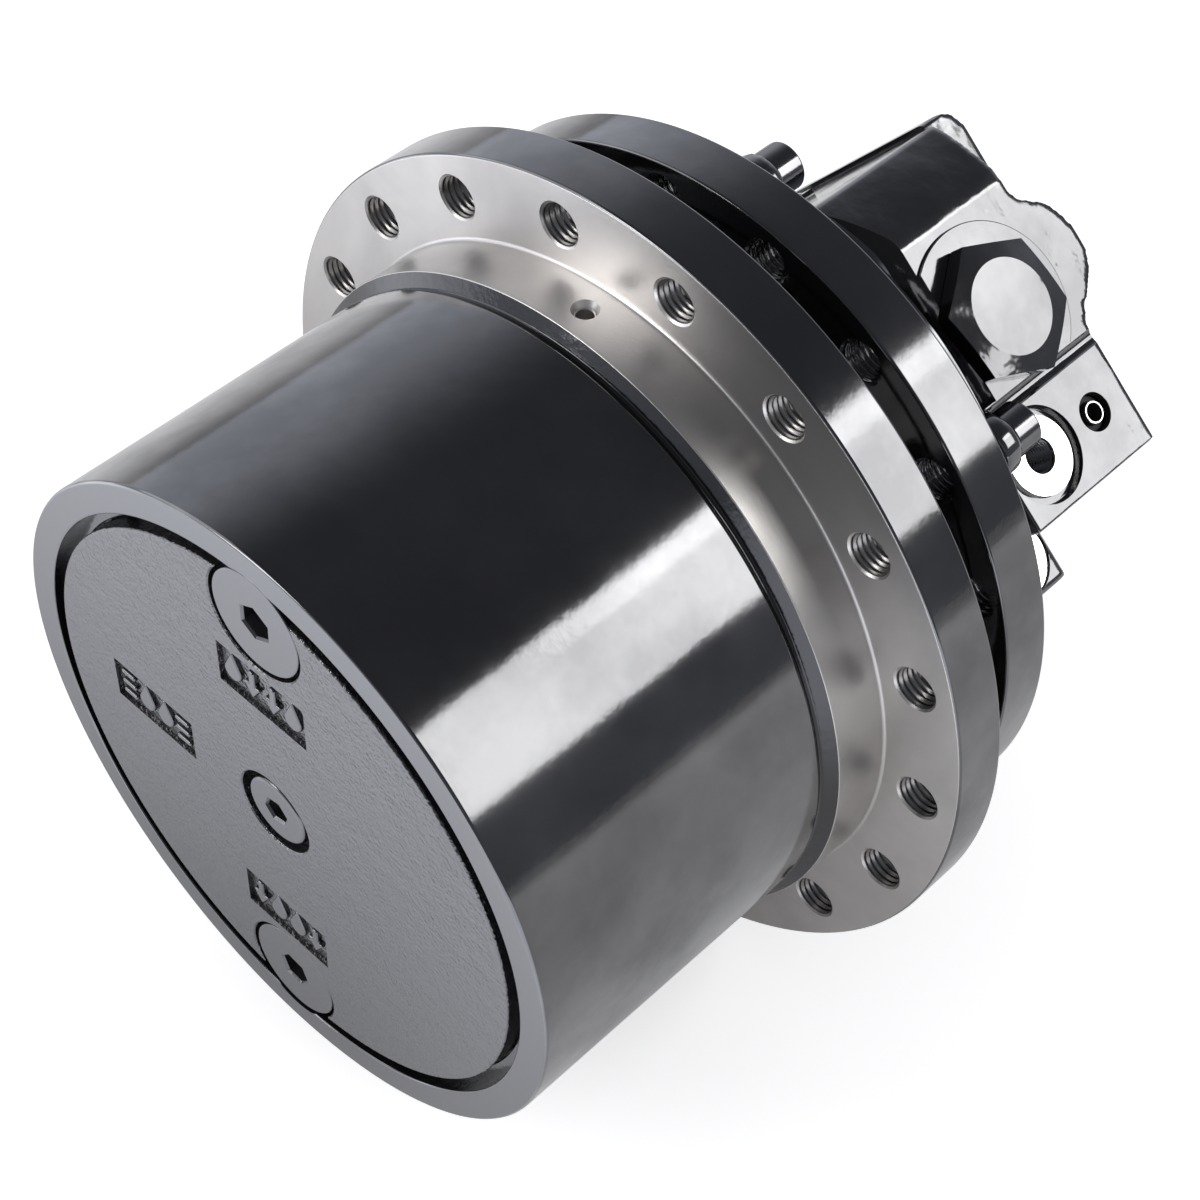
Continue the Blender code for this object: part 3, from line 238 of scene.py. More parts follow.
# shader groups shared by the finishes
def newGroup(name, inputs, outputs):
    group = bpy.data.node_groups.new(name, "ShaderNodeTree")
    for label, kind, value in inputs:
        socket = group.interface.new_socket(label, in_out="INPUT", socket_type="NodeSocket" + kind)
        if value is not None:
            socket.default_value = value
    for label, kind in outputs:
        group.interface.new_socket(label, in_out="OUTPUT", socket_type="NodeSocket" + kind)
    return group, group.nodes.new("NodeGroupInput"), group.nodes.new("NodeGroupOutput")


def node(tree, kind, values=None, links=None, **settings):
    made = tree.nodes.new("ShaderNode" + kind)
    for key, value in settings.items():
        setattr(made, key, value)
    for key, value in (values or {}).items():
        made.inputs[key].default_value = value
    for key, source in (links or {}).items():
        tree.links.new(source, made.inputs[key])
    return made


def ramp(tree, source, stops):
    made = node(tree, "ValToRGB", links={"Fac": source})
    elements = made.color_ramp.elements
    while len(elements) < len(stops):
        elements.new(0.5)
    for element, (position, shade) in zip(elements, stops):
        element.position = position
        element.color = (*shade, 1) if isinstance(shade, tuple) else (shade, shade, shade, 1)
    return made.outputs["Color"]


def makeSkinGroup():
    # the skin of sprayed paint: long waves, orange peel and a little dust
    group, inside, outside = newGroup("SprayedSkin", [
        ("PeelScale", "Float", 420.0), ("WaveScale", "Float", 30.0), ("PeelHeight", "Float", 0.2),
        ("WaveHeight", "Float", 0.2), ("Patchiness", "Float", 0.05)],
        [("Height", "Float"), ("Cloud", "Float"), ("RoughnessShift", "Float")])
    spot = node(group, "TexCoord").outputs["Object"]
    peel = node(group, "TexNoise", {"Detail": 2.0}, {"Vector": spot, "Scale": inside.outputs["PeelScale"]})
    wave = node(group, "TexNoise", {"Detail": 1.0}, {"Vector": spot, "Scale": inside.outputs["WaveScale"]})
    patch = node(group, "TexNoise", {"Detail": 5.0, "Roughness": 0.6, "Scale": 22.0}, {"Vector": spot})
    peelPart = node(group, "Math", links={0: peel.outputs["Fac"], 1: inside.outputs["PeelHeight"]},
                    operation="MULTIPLY")
    wavePart = node(group, "Math", links={0: wave.outputs["Fac"], 1: inside.outputs["WaveHeight"]},
                    operation="MULTIPLY")
    total = node(group, "Math", links={0: peelPart.outputs[0], 1: wavePart.outputs[0]}, operation="ADD")
    centred = node(group, "Math", {1: 0.5}, {0: patch.outputs["Fac"]}, operation="SUBTRACT")
    shift = node(group, "Math", links={0: centred.outputs[0], 1: inside.outputs["Patchiness"]},
                 operation="MULTIPLY")
    group.links.new(total.outputs[0], outside.inputs["Height"])
    cloud = node(group, "MapRange", {"From Min": 0.38, "From Max": 0.62, "To Min": 0.25, "To Max": 1.0},
                 {"Value": patch.outputs["Fac"]})
    group.links.new(cloud.outputs[0], outside.inputs["Cloud"])
    group.links.new(shift.outputs[0], outside.inputs["RoughnessShift"])
    return group


def makeTintGroup():
    # cloudy stains of handling, heat and wash on bare steel, with the fine grain under them
    group, inside, outside = newGroup("SteelStains", [
        ("Bright", "Color", (0.5, 0.48, 0.46, 1)), ("Stain", "Color", (0.2, 0.19, 0.19, 1)),
        ("StainScale", "Float", 14.0), ("StainAmount", "Float", 0.7), ("GrainScale", "Float", 900.0)],
        [("Color", "Color"), ("Height", "Float"), ("RoughnessShift", "Float")])
    spot = node(group, "TexCoord").outputs["Object"]
    cloud = node(group, "TexNoise", {"Detail": 4.0, "Roughness": 0.55, "Distortion": 0.6},
                 {"Vector": spot, "Scale": inside.outputs["StainScale"]})
    cloudShade = ramp(group, cloud.outputs["Fac"], [(0.34, 0.0), (0.74, 1.0)])
    grain = node(group, "TexNoise", {"Detail": 3.0}, {"Vector": spot, "Scale": inside.outputs["GrainScale"]})
    share = node(group, "Math", links={0: cloudShade, 1: inside.outputs["StainAmount"]}, operation="MULTIPLY")
    mixed = node(group, "Mix", links={0: share.outputs[0]}, data_type="RGBA")
    group.links.new(inside.outputs["Bright"], mixed.inputs[6])
    group.links.new(inside.outputs["Stain"], mixed.inputs[7])
    shift = node(group, "Math", {1: 0.12}, {0: share.outputs[0]}, operation="MULTIPLY")
    group.links.new(mixed.outputs[2], outside.inputs["Color"])
    group.links.new(grain.outputs["Fac"], outside.inputs["Height"])
    group.links.new(shift.outputs[0], outside.inputs["RoughnessShift"])
    return group


groups = {"skin": makeSkinGroup(), "tint": makeTintGroup()}


def startMaterial(name):
    material = bpy.data.materials.new(name)
    material.use_nodes = True
    shades[name] = material
    tree = material.node_tree
    return tree, tree.nodes["Principled BSDF"]


def shifted(tree, shader, base, source):
    total = node(tree, "Math", {1: base}, {0: source}, operation="ADD", use_clamp=True)
    tree.links.new(total.outputs[0], shader.inputs["Roughness"])


def paintMaterial(name, colour, roughness, ior, peelScale, peelHeight, waveHeight, patchiness, distance,
                  waveScale=30.0, clouded=False):
    tree, shader = startMaterial(name)
    skin = node(tree, "Group", node_tree=groups["skin"])
    for key, value in (("PeelScale", peelScale), ("PeelHeight", peelHeight), ("WaveHeight", waveHeight),
                       ("Patchiness", patchiness), ("WaveScale", waveScale)):
        skin.inputs[key].default_value = value
    shader.inputs["Base Color"].default_value = (*colour, 1)
    bump = node(tree, "Bump", {"Strength": 1.0, "Distance": distance}, {"Height": skin.outputs["Height"]})
    tree.links.new(bump.outputs["Normal"], shader.inputs["Normal"])
    shader.inputs["IOR"].default_value = ior
    shader.inputs["Specular Tint"].default_value = (0.97, 0.97, 1.0, 1)
    if clouded:
        shader.inputs["Coat IOR"].default_value = 1.62
        shader.inputs["Coat Roughness"].default_value = roughness
        tree.links.new(skin.outputs["Cloud"], shader.inputs["Coat Weight"])
    shifted(tree, shader, roughness, skin.outputs["RoughnessShift"])


def steelMaterial(name, bright, stain, roughness, stainScale, stainAmount, grainScale, distance,
                  paintedReflection=None):
    tree, shader = startMaterial(name)
    tint = node(tree, "Group", node_tree=groups["tint"])
    tint.inputs["Bright"].default_value = (*bright, 1)
    tint.inputs["Stain"].default_value = (*stain, 1)
    for key, value in (("StainScale", stainScale), ("StainAmount", stainAmount), ("GrainScale", grainScale)):
        tint.inputs[key].default_value = value
    bump = node(tree, "Bump", {"Strength": 1.0, "Distance": distance}, {"Height": tint.outputs["Height"]})
    colour = tint.outputs["Color"]
    # a warm bright patch mixed into the steel's colour round one place, fading out over its reach: a painted
    # reflection
    if paintedReflection:     # fitted to the photo's brightness at one place, and no known property of the steel
        place, reach, reflectionColour = paintedReflection
        spot = node(tree, "TexCoord").outputs["Object"]
        away = node(tree, "VectorMath", {1: place}, {0: spot}, operation="DISTANCE")
        share = node(tree, "MapRange", {"From Min": reach, "From Max": 0.0}, {"Value": away.outputs["Value"]},
                     interpolation_type="SMOOTHSTEP")
        patch = node(tree, "Mix", {7: (*reflectionColour, 1)}, {0: share.outputs[0], 6: colour}, data_type="RGBA")
        colour = patch.outputs[2]
    tree.links.new(colour, shader.inputs["Base Color"])
    tree.links.new(bump.outputs["Normal"], shader.inputs["Normal"])
    shader.inputs["Metallic"].default_value = 1.0
    shifted(tree, shader, roughness, tint.outputs["RoughnessShift"])


# paint: colour, roughness, IOR, peel scale and height, wave height, patchiness, bump distance
# steel: bright and stained colour, roughness, stain scale and amount, grain scale, bump distance
paintMaterial("glossPaint", (0.007, 0.007, 0.008), 0.1, 1.95, 300.0, 0.04, 0.3, 0.1, 0.0006, clouded=True)
paintMaterial("rimPaint", (0.009, 0.009, 0.010), 0.22, 2.1, 500.0, 0.05, 0.1, 0.04, 0.0004)
paintMaterial("coverPaint", (0.012, 0.012, 0.013), 0.26, 2.0, 700.0, 0.5, 0.4, 0.08, 0.0010, waveScale=140.0)
paintMaterial("motorPaint", (0.008, 0.008, 0.009), 0.09, 1.95, 160.0, 0.16, 0.6, 0.12, 0.0009, waveScale=55.0,
              clouded=True)
paintMaterial("valleyAndShadePaint", (0.006, 0.006, 0.007), 0.14, 1.6, 420.0, 0.6, 0.4, 0.1, 0.00012)
paintMaterial("plugPaint", (0.012, 0.012, 0.013), 0.2, 2.0, 300.0, 0.1, 0.3, 0.06, 0.0005)
# satin steel carries a painted warm reflection round one place on the pilot
steelMaterial("satinSteel", (0.575, 0.557, 0.535), (0.33, 0.315, 0.31), 0.35, 16.0, 0.7, 1100.0, 0.00003,
              paintedReflection=((0.006, -0.066, 0.116), 0.046, (0.84, 0.812, 0.785)))
steelMaterial("threadSteel", (0.27, 0.26, 0.25), (0.16, 0.155, 0.15), 0.28, 60.0, 0.4, 900.0, 0.00003)
steelMaterial("darkScrewAndShadeSteel", (0.2, 0.2, 0.205), (0.12, 0.12, 0.125), 0.12, 60.0, 0.4, 1500.0, 0.00001)
steelMaterial("polishedSteel", (0.72, 0.71, 0.69), (0.5, 0.49, 0.48), 0.14, 80.0, 0.3, 1500.0, 0.00001)
steelMaterial("gearSteel", (0.36, 0.35, 0.34), (0.2, 0.19, 0.18), 0.28, 40.0, 0.5, 1500.0, 0.00002)
steelMaterial("greyIron", (0.19, 0.19, 0.185), (0.11, 0.11, 0.105), 0.5, 60.0, 0.6, 700.0, 0.00008)
steelMaterial("bronze", (0.56, 0.37, 0.17), (0.36, 0.22, 0.1), 0.32, 60.0, 0.5, 1200.0, 0.00002)
paintMaterial("liningBrown", (0.11, 0.085, 0.06), 0.8, 1.45, 900.0, 1.0, 0.2, 0.1, 0.0003)
paintMaterial("blackRubber", (0.014, 0.014, 0.014), 0.6, 1.5, 700.0, 0.4, 0.2, 0.1, 0.0002)
print("finishes made:", len(shades))


# stations along the drive axis: the valley, the case base and the rear cover follow the photo, not the CAD
station = {
    "drumFace": -0.193, "valleyFront": -0.0824, "collarBack": -0.0778,
    "flangeFront": -0.0588, "flangeBack": -0.0406, "frameFront": -0.018,
    "barrelBack": 0.0187, "caseFront": 0.019, "caseFlangeBack": 0.0275, "caseEnd": 0.085,
    "rearFront": 0.0853, "rearBack": 0.1003,
}


def threadSleeves(bm, places, start, end, rootRadius, crestRadius, pitch, across=False, aroundSteps=36):
    # each sleeve is a closed ring whose bore carries one running thread
    rowsPerTurn = 8
    rows = ceil((end - start) / pitch * rowsPerTurn)
    for place in places:
        inner, outer = [], []
        for row in range(rows + 1):
            along = start + (end - start) * row / rows
            ring = []
            for k in range(aroundSteps):
                angle = 2 * pi * k / aroundSteps
                phase = ((along - start) / pitch - k / aroundSteps) % 1
                height = min(1.0, max(0.0, (abs(2 * phase - 1) - 0.12) / 0.76))
                fade = min(1.0, (along - start) / pitch + 0.15, (end - along) / pitch + 0.15)
                radius = rootRadius - (rootRadius - crestRadius) * height * fade
                ring.append(bm.verts.new((radius * sin(angle), along, radius * cos(angle))))
            inner.append(ring)
        for along in (start, end):
            outer.append([bm.verts.new((
                (rootRadius + 0.0003) * sin(2 * pi * k / aroundSteps), along,
                (rootRadius + 0.0003) * cos(2 * pi * k / aroundSteps))) for k in range(aroundSteps)])
        walls = [*inner, outer[1], outer[0]]
        for i, ring in enumerate(walls):
            other = walls[(i + 1) % len(walls)]
            for k in range(aroundSteps):
                n = (k + 1) % aroundSteps
                bm.faces.new([ring[k], ring[n], other[n], other[k]])
        made = [v for ring in walls for v in ring]
        if across:
            bmesh.ops.transform(bm, matrix=Matrix.Rotation(-pi / 2, 4, "Z"), verts=made)
        bmesh.ops.translate(bm, vec=place, verts=made)


# drum
hub = {
    "drumRadius": 0.109, "rimBore": 0.0987, "rimRound": 0.0011, "valleyDepth": 0.0014,
    "pilotRadius": 0.1123, "pilotFillet": 0.0011, "flangeRadius": 0.140, "flangeChamfer": 0.0009,
    "holeCircle": 0.1259, "holeRadius": 0.0070, "holeMouth": 0.0076, "holeCount": 18,
    "pilotHoleAt": -0.0687, "steps": 216,
}


def makeHub():
    face, valley = station["drumFace"], station["valleyFront"]
    collar, front, back = station["collarBack"], station["flangeFront"], station["flangeBack"]
    drum, pilot, chamfer = hub["drumRadius"], hub["pilotRadius"], hub["flangeChamfer"]
    profile = [
        (hub["rimBore"], face, 0.0007), (drum, face, hub["rimRound"]),
        (drum, valley - 0.0008, 0.0016), (drum - hub["valleyDepth"], valley + 0.0006, 0.0012),
        (drum - 0.0010, valley + 0.0018, 0.0008),
        (pilot, collar - 0.0004, 0.0004), (pilot, front, hub["pilotFillet"]),
        (hub["flangeRadius"], front, chamfer), (hub["flangeRadius"], back, chamfer),
        (0.104, back, 0.001), (0.104, -0.02975), (0.0975, -0.02975), (0.0975, -0.0418),
        (0.0876, -0.0418), (0.0876, -0.0595), (0.0801, -0.0595), (0.0801, -0.0689),
        (0.0876, -0.0689), (0.0876, -0.0855), (0.094, -0.0855), (0.094, -0.094),
        (0.0855, -0.094), (0.0855, -0.1750), (hub["rimBore"], -0.1750), (hub["rimBore"], -0.1837),
        (0.1012, -0.1837), (0.1012, -0.1871), (hub["rimBore"], -0.1871)]
    bm = bmesh.new()
    turnedMesh(bm, profile, hub["steps"])
    drumPiece = addPiece("drum", bm, "glossPaint")
    holes = around(hub["holeCount"], hub["holeCircle"], pi / hub["holeCount"])
    bm = bmesh.new()
    for x, z in holes:
        turnedMesh(bm, [
            (0, front - 0.001), (hub["holeMouth"] + 0.001, front - 0.001), (hub["holeMouth"], front),
            (hub["holeRadius"], front + 0.0006), (hub["holeRadius"], back - 0.0006),
            (hub["holeMouth"], back), (hub["holeMouth"] + 0.001, back + 0.001), (0, back + 0.001)],
            48, (x, 0, z))
    for z in (cover["fillerRadius"], -cover["fillerRadius"]):
        turnedMesh(bm, [
            (0, face - 0.001), (plug["seatRadius"], face - 0.001),
            (plug["seatRadius"], face + plug["seatDepth"]), (0, face + plug["seatDepth"])], 96, (0, 0, z))
    pilotHole = turnedMesh(bm, [
        (0, 0.1033), (0.0027, 0.1033), (0.0027, 0.1098), (0.0031, 0.1100), (0.0044, pilot + 0.0004),
        (0.0044, 0.114), (0, 0.114)], 40)
    bmesh.ops.transform(bm, matrix=Matrix.Rotation(pi / 2, 4, "X"), verts=pilotHole)
    bmesh.ops.translate(bm, vec=(-0.0016, hub["pilotHoleAt"], 0), verts=pilotHole)
    change(drumPiece, bm)
    painted(drumPiece, "satinSteel", lambda r, y, c, n: collar - 0.0006 < y < front + 0.0003 and r < 0.1395
            or (front < y < back and abs(r - hub["holeCircle"]) < 0.0085 and abs(n.y) < 0.9))
    painted(drumPiece, "valleyAndShadePaint", lambda r, y, c, n: valley - 0.0002 < y < collar - 0.0006 and r < 0.1135)
    # the rim's bore wall takes the darker, duller valley paint: painted shade inside the rim
    painted(drumPiece, "valleyAndShadePaint", lambda r, y, c, n: face + 0.0009 < y < -0.174 and r < 0.1025)
    painted(drumPiece, "rimPaint", lambda r, y, c, n: y < face + 0.0001 and n.y < -0.9)
    placed(drumPiece, "hub", "gloss_paint", "hub_housing")
    bm = bmesh.new()
    threadSleeves(bm, [(x, 0, z) for x, z in holes], front + 0.0008, back - 0.0008,
                  hub["holeRadius"] - 0.0001, 0.0060, 0.002)
    placed(addPiece("drumThreads", bm, "threadSteel"), "hub", "machined_steel", angle=60)


# end cover with its pockets and plugs
cover = {
    "faceRadius": 0.0944, "edgeRound": 0.0008, "lip": 0.009, "fillerRadius": 0.0822, "pocketRadius": 0.0532,
    "pocketLength": 0.0353, "pocketHeight": 0.0165, "pocketDepth": 0.0017, "draft": 0.0003, "steps": 200,
}
plug = {
    "headRadius": 0.0171, "seatRadius": 0.0182, "seatDepth": 0.0057, "recess": 0.0005, "socket": 0.0098,
    "socketDepth": 0.0046, "threadRadius": 0.0106, "length": 0.0165,
    "axisHead": 0.0118, "axisSeat": 0.0143, "axisThread": 0.0076, "axisSocket": 0.0074,
}


def pocketPlaces():
    return [(0, cover["pocketRadius"], "fill"), (0, -cover["pocketRadius"], "drain"),
            (-cover["pocketRadius"], 0, "level")]


def makeCover():
    face, lip = station["drumFace"], station["drumFace"] + cover["lip"]
    back = station["drumFace"] + 0.0174
    bm = bmesh.new()
    turnedMesh(bm, [
        (0, face), (cover["faceRadius"], face, cover["edgeRound"]), (cover["faceRadius"], lip),
        (0.0984, lip), (0.0984, back), (0.0, back)], cover["steps"])
    piece = addPiece("endCover", bm, "coverPaint")
    bm = bmesh.new()
    for z, seat, thread in ((0, plug["axisSeat"], plug["axisThread"]),
                            (cover["fillerRadius"], plug["seatRadius"], plug["threadRadius"]),
                            (-cover["fillerRadius"], plug["seatRadius"], plug["threadRadius"])):
        turnedMesh(bm, [
            (0, face - 0.001), (seat + 0.0012, face - 0.001), (seat + 0.0004, face), (seat, face + 0.0004),
            (seat, face + plug["seatDepth"]), (thread + 0.0004, face + plug["seatDepth"]),
            (thread + 0.0004, back + 0.001), (0, back + 0.001)], 96, (0, 0, z))
    for x, z, kind in pocketPlaces():
        halfLong, halfHigh, draft = cover["pocketLength"] / 2, cover["pocketHeight"] / 2, cover["draft"]
        quarters = ((-1, -1), (1, -1), (1, 1), (-1, 1))
        low = [(sx * (halfLong - draft), sz * (halfHigh - draft)) for sx, sz in quarters]
        top = [(sx * (halfLong + draft), sz * (halfHigh + draft)) for sx, sz in quarters]
        floor = [bm.verts.new((x + a, face + cover["pocketDepth"], z + b)) for a, b in low]
        mouth = [bm.verts.new((x + a, face - cover["pocketDepth"], z + b)) for a, b in top]
        bm.faces.new(floor)
        bm.faces.new(mouth)
        for k in range(4):
            bm.faces.new([floor[k], floor[(k + 1) % 4], mouth[(k + 1) % 4], mouth[k]])
    change(piece, bm)
    edged(piece, 0.0005, 3, 60)
    placed(piece, "hub", "cast_paint", "end_cover", angle=28)
    ring = bmesh.new()
    ringFront, ringBack = -0.1871, -0.1843
    turnedMesh(ring, [
        (cover["faceRadius"] + 0.0004, ringFront, 0.0004), (0.1009, ringFront), (0.1009, ringBack),
        (cover["faceRadius"] + 0.0004, ringBack)], cover["steps"])
    # the steel ring takes the black valley paint so the groove round the cover stays dark: painted shade in
    # the groove
    snap = addPiece("retainingRing", ring, "valleyAndShadePaint")
    opening = bmesh.new()
    block(opening, (-0.004, -0.19, 0.08), (0.004, -0.18, 0.12))
    bmesh.ops.transform(opening, matrix=Matrix.Rotation(radians(-38), 4, "Y"), verts=opening.verts)
    change(snap, opening)
    placed(snap, "hub", "machined_steel", "cover_retaining_ring")


def droplet(size):
    points = [(0.0, 1.25 * size)]
    for k in range(13):
        angle = radians(35 - 250 * k / 12)
        points.append((size * 0.62 * cos(angle), size * 0.62 * sin(angle) - size * 0.2))
    return points[::-1]


def arrow(size, way):
    shape = [(-0.22, 1.0), (0.22, 1.0), (0.22, 0.0), (0.62, 0.0), (0, -1.0), (-0.62, 0.0), (-0.22, 0.0)]
    return [(a * size, b * size * way) for a, b in shape][::way]


def bar(width, height):
    a, b = width / 2, height / 2
    return [(-a, -b), (a, -b), (a, b), (-a, b)]


def makePictograms():
    # plain signs stand in the pockets: oil goes in, oil level, oil goes out
    size, face = 0.0056, station["drumFace"]
    signs = {
        "fill": [(-0.0122, 0, droplet(size)), (-0.0042, 0, arrow(size, 1)), (0.0042, 0, arrow(size, 1)),
                 (0.0122, 0, droplet(size))],
        "drain": [(-0.0122, 0, arrow(size, 1)), (-0.0042, 0, droplet(size)), (0.0042, 0, droplet(size)),
                  (0.0122, 0, arrow(size, 1))],
        "level": [(-0.0122, 0, bar(0.0062, 0.0018)), (-0.0122, -0.0043, bar(0.0062, 0.0018)),
                  (-0.0122, 0.0043, bar(0.0062, 0.0018)), (-0.0042, 0, droplet(size)),
                  (0.0042, 0, droplet(size)), (0.0122, 0, bar(0.0062, 0.0018)),
                  (0.0122, -0.0043, bar(0.0062, 0.0018)), (0.0122, 0.0043, bar(0.0062, 0.0018))],
    }
    bm = bmesh.new()
    for x, z, kind in pocketPlaces():
        for dx, dz, outline in signs[kind]:
            prism(bm, outline, face + 0.0002, face + cover["pocketDepth"] + 0.0004, "y", (x + dx, 0, z + dz))
    piece = addPiece("coverSigns", bm, "plugPaint")
    edged(piece, 0.0007, 3)
    placed(piece, "hub", "cast_paint")


def makePlugs():
    face = station["drumFace"] + plug["recess"]
    outer, axis = (plug["headRadius"], plug["threadRadius"], plug["socket"]), (
        plug["axisHead"], plug["axisThread"], plug["axisSocket"])
    for name, nodeName, z, sizes, turned, edgeRound in (
            ("levelPlug", "level_plug", 0, axis, 0.2, 0.0012),
            ("fillPlug", "fill_plug", cover["fillerRadius"], outer, 0.5, 0.0005),
            ("drainPlug", "drain_plug", -cover["fillerRadius"], outer, 0.9, 0.0005)):
        head, thread, socket = sizes
        bm = bmesh.new()
        headBack = station["drumFace"] + plug["seatDepth"] - 0.0003
        turnedMesh(bm, [
            (0, face), (head, face, edgeRound), (head, headBack), (thread, headBack),
            (thread, face + plug["length"]), (0, face + plug["length"])], 96, (0, 0, z))
        piece = addPiece(name, bm, "plugPaint")
        bm = bmesh.new()
        mouth = [bm.verts.new((a, face - 0.0006, z + b)) for a, b in hexagon(socket + 0.0022, turned)]
        edge = [bm.verts.new((a, face + 0.0008, z + b)) for a, b in hexagon(socket, turned)]
        floor = [bm.verts.new((a, face + plug["socketDepth"], z + b)) for a, b in hexagon(socket, turned)]
        tip = bm.verts.new((0, face + plug["socketDepth"] + 0.0022, z))
        bm.faces.new(mouth)
        for k in range(6):
            n = (k + 1) % 6
            bm.faces.new([mouth[k], mouth[n], edge[n], edge[k]])
            bm.faces.new([edge[k], edge[n], floor[n], floor[k]])
            bm.faces.new([floor[k], floor[n], tip])
        change(piece, bm)
        edged(piece, 0.0003, 2)
        placed(piece, "hub", "machined_steel", nodeName, angle=35)


makeHub()
makeCover()
makePictograms()
makePlugs()
print("drum, cover and plugs made")


# frame flange and its barrel
spindle = {
    "flangeRadius": 0.12485, "chamfer": 0.0009, "barrelRadius": 0.102, "holeCircle": 0.1134,
    "holeRadius": 0.0070, "pinRadius": 0.0085, "pinCircle": 0.0585, "steps": 200,
}
screws = {"circle": 0.094, "angles": (-17, 52, 163, 232), "bore": 0.0053, "head": 0.008, "height": 0.010}


def motorPlace(radius, angle):
    return (radius * cos(angle), radius * sin(angle))


def makeSpindle():
    front, flange, chamfer = station["frameFront"], spindle["flangeRadius"], spindle["chamfer"]
    barrel, barrelBack = spindle["barrelRadius"], station["barrelBack"]
    profile = [
        (0.015, -0.092), (0.0674, -0.092), (0.0674, -0.0429), (0.082, -0.0429), (0.082, -0.015),
        (0.0975, -0.015), (0.0975, -0.02825), (0.104, -0.02825), (0.104, front, 0.001),
        (flange, front, chamfer), (flange, 0, chamfer),
        (barrel, 0, 0.001), (barrel, barrelBack), (0.078, barrelBack), (0.078, 0.0043),
        (0.062, 0.0043), (0.062, -0.0052), (0.052, -0.0052), (0.052, -0.041), (0.0223, -0.041),
        (0.0223, -0.0536), (0.015, -0.0536)]
    bm = bmesh.new()
    turnedMesh(bm, profile, spindle["steps"])
    piece = addPiece("frameFlange", bm, "glossPaint")
    holes = around(18, spindle["holeCircle"], pi / 18)
    bm = bmesh.new()
    for x, z in holes:
        mouth = spindle["holeRadius"] + 0.0006
        turnedMesh(bm, [
            (0, front - 0.001), (mouth + 0.001, front - 0.001), (mouth, front),
            (spindle["holeRadius"], front + 0.0006), (spindle["holeRadius"], -0.0006),
            (mouth, 0), (mouth + 0.001, 0.001), (0, 0.001)], 40, (x, 0, z))
    change(piece, bm)
    bm = bmesh.new()
    for angle in screws["angles"]:
        x, z = motorPlace(screws["circle"], radians(angle) + motorAngle)
        turnedMesh(bm, [(0, 0.0087), (screws["bore"], 0.0087), (screws["bore"], 0.02), (0, 0.02)], 32,
                   (x, 0, z))
    change(piece, bm)
    bm = bmesh.new()
    for k in range(3):
        angle = pi / 2 + 2 * pi * k / 3
        x, z = spindle["pinCircle"] * cos(angle), spindle["pinCircle"] * sin(angle)
        turnedMesh(bm, [(0, -0.132), (spindle["pinRadius"], -0.132, 0.0006), (spindle["pinRadius"], -0.087),
                        (0, -0.087)], 40, (x, 0, z))
    change(piece, bm, "UNION")
    placed(piece, "fixed_body", "gloss_paint", "spindle")
    bm = bmesh.new()
    threadSleeves(bm, [(x, 0, z) for x, z in holes], front + 0.0008, -0.0008,
                  spindle["holeRadius"] - 0.0001, 0.0060, 0.002, aroundSteps=24)
    placed(addPiece("frameThreads", bm, "glossPaint"), "fixed_body", "gloss_paint", angle=60)


# motor end, set out in axes turned with the valve
motor = {
    "radius": 0.092, "halfWidth": 0.0595, "halfDepth": 0.084, "voxel": 0.0012,
    "smooth": 4, "capAt": (0.0555, 0.003), "portAt": (0.0436, -0.0407), "gaugeAt": (0.070, -0.0407),
    "lobeAt": (0.0845, 0.007), "lobeRadius": 0.019,
    "lowerAt": (0.0436, -0.0716), "blockTop": -0.0185, "blockBottom": -0.0595, "grooveAt": -0.0215,
    "edgeStock": 0.0009, "coverReach": 0.066, "baseRadius": 0.0915, "earRadius": 0.0104,
    "grooveRadius": 0.0031, "slopeEnds": (-0.0185, 0.075),
}
# across and along the axis
slopeCorners = [(0.0846, 0.0380), (0.0735, 0.0290), (0.12, 0.0290), (0.12, 0.0380)]
barePlate = {"half": (0.023, 0.013), "middle": 0.056, "thickness": 0.0016,
             "screwInset": 0.0035, "screwHead": 0.0016}
# the lobe's end face with the fillets at its foot
lobeOutline = [
    (0.078, 0.0345), (0.0848, 0.0322), (0.0876, 0.0272), (0.0923, 0.0237), (0.0960, 0.0215), (0.0993, 0.0160),
    (0.1010, 0.0110), (0.1017, 0.0061), (0.1013, 0.0020), (0.0999, -0.0018), (0.0973, -0.0054),
    (0.0937, -0.0089), (0.0890, -0.0128), (0.0850, -0.0188), (0.0842, -0.0225), (0.078, -0.0225)]
cap = {
    "flats": 0.0405, "seatRadius": 0.029, "seat": 0.0852, "face": 0.0931, "faceRadius": 0.0152,
    "turned": radians(38.7), "drop": 0.0019,
}


def clamp(value, limit):
    return max(-limit, min(limit, value))


def cast(piece, voxel, rounds):
    remesh = piece.modifiers.new("casting", "REMESH")
    remesh.mode, remesh.voxel_size = "VOXEL", voxel
    soften = piece.modifiers.new("soften", "SMOOTH")
    soften.factor, soften.iterations = 0.5, rounds
    applied(piece)


def bore(piece, profile, place, across, steps=48):
    bm = bmesh.new()
    turnedMesh(bm, profile, steps, place, across)
    change(piece, bm)


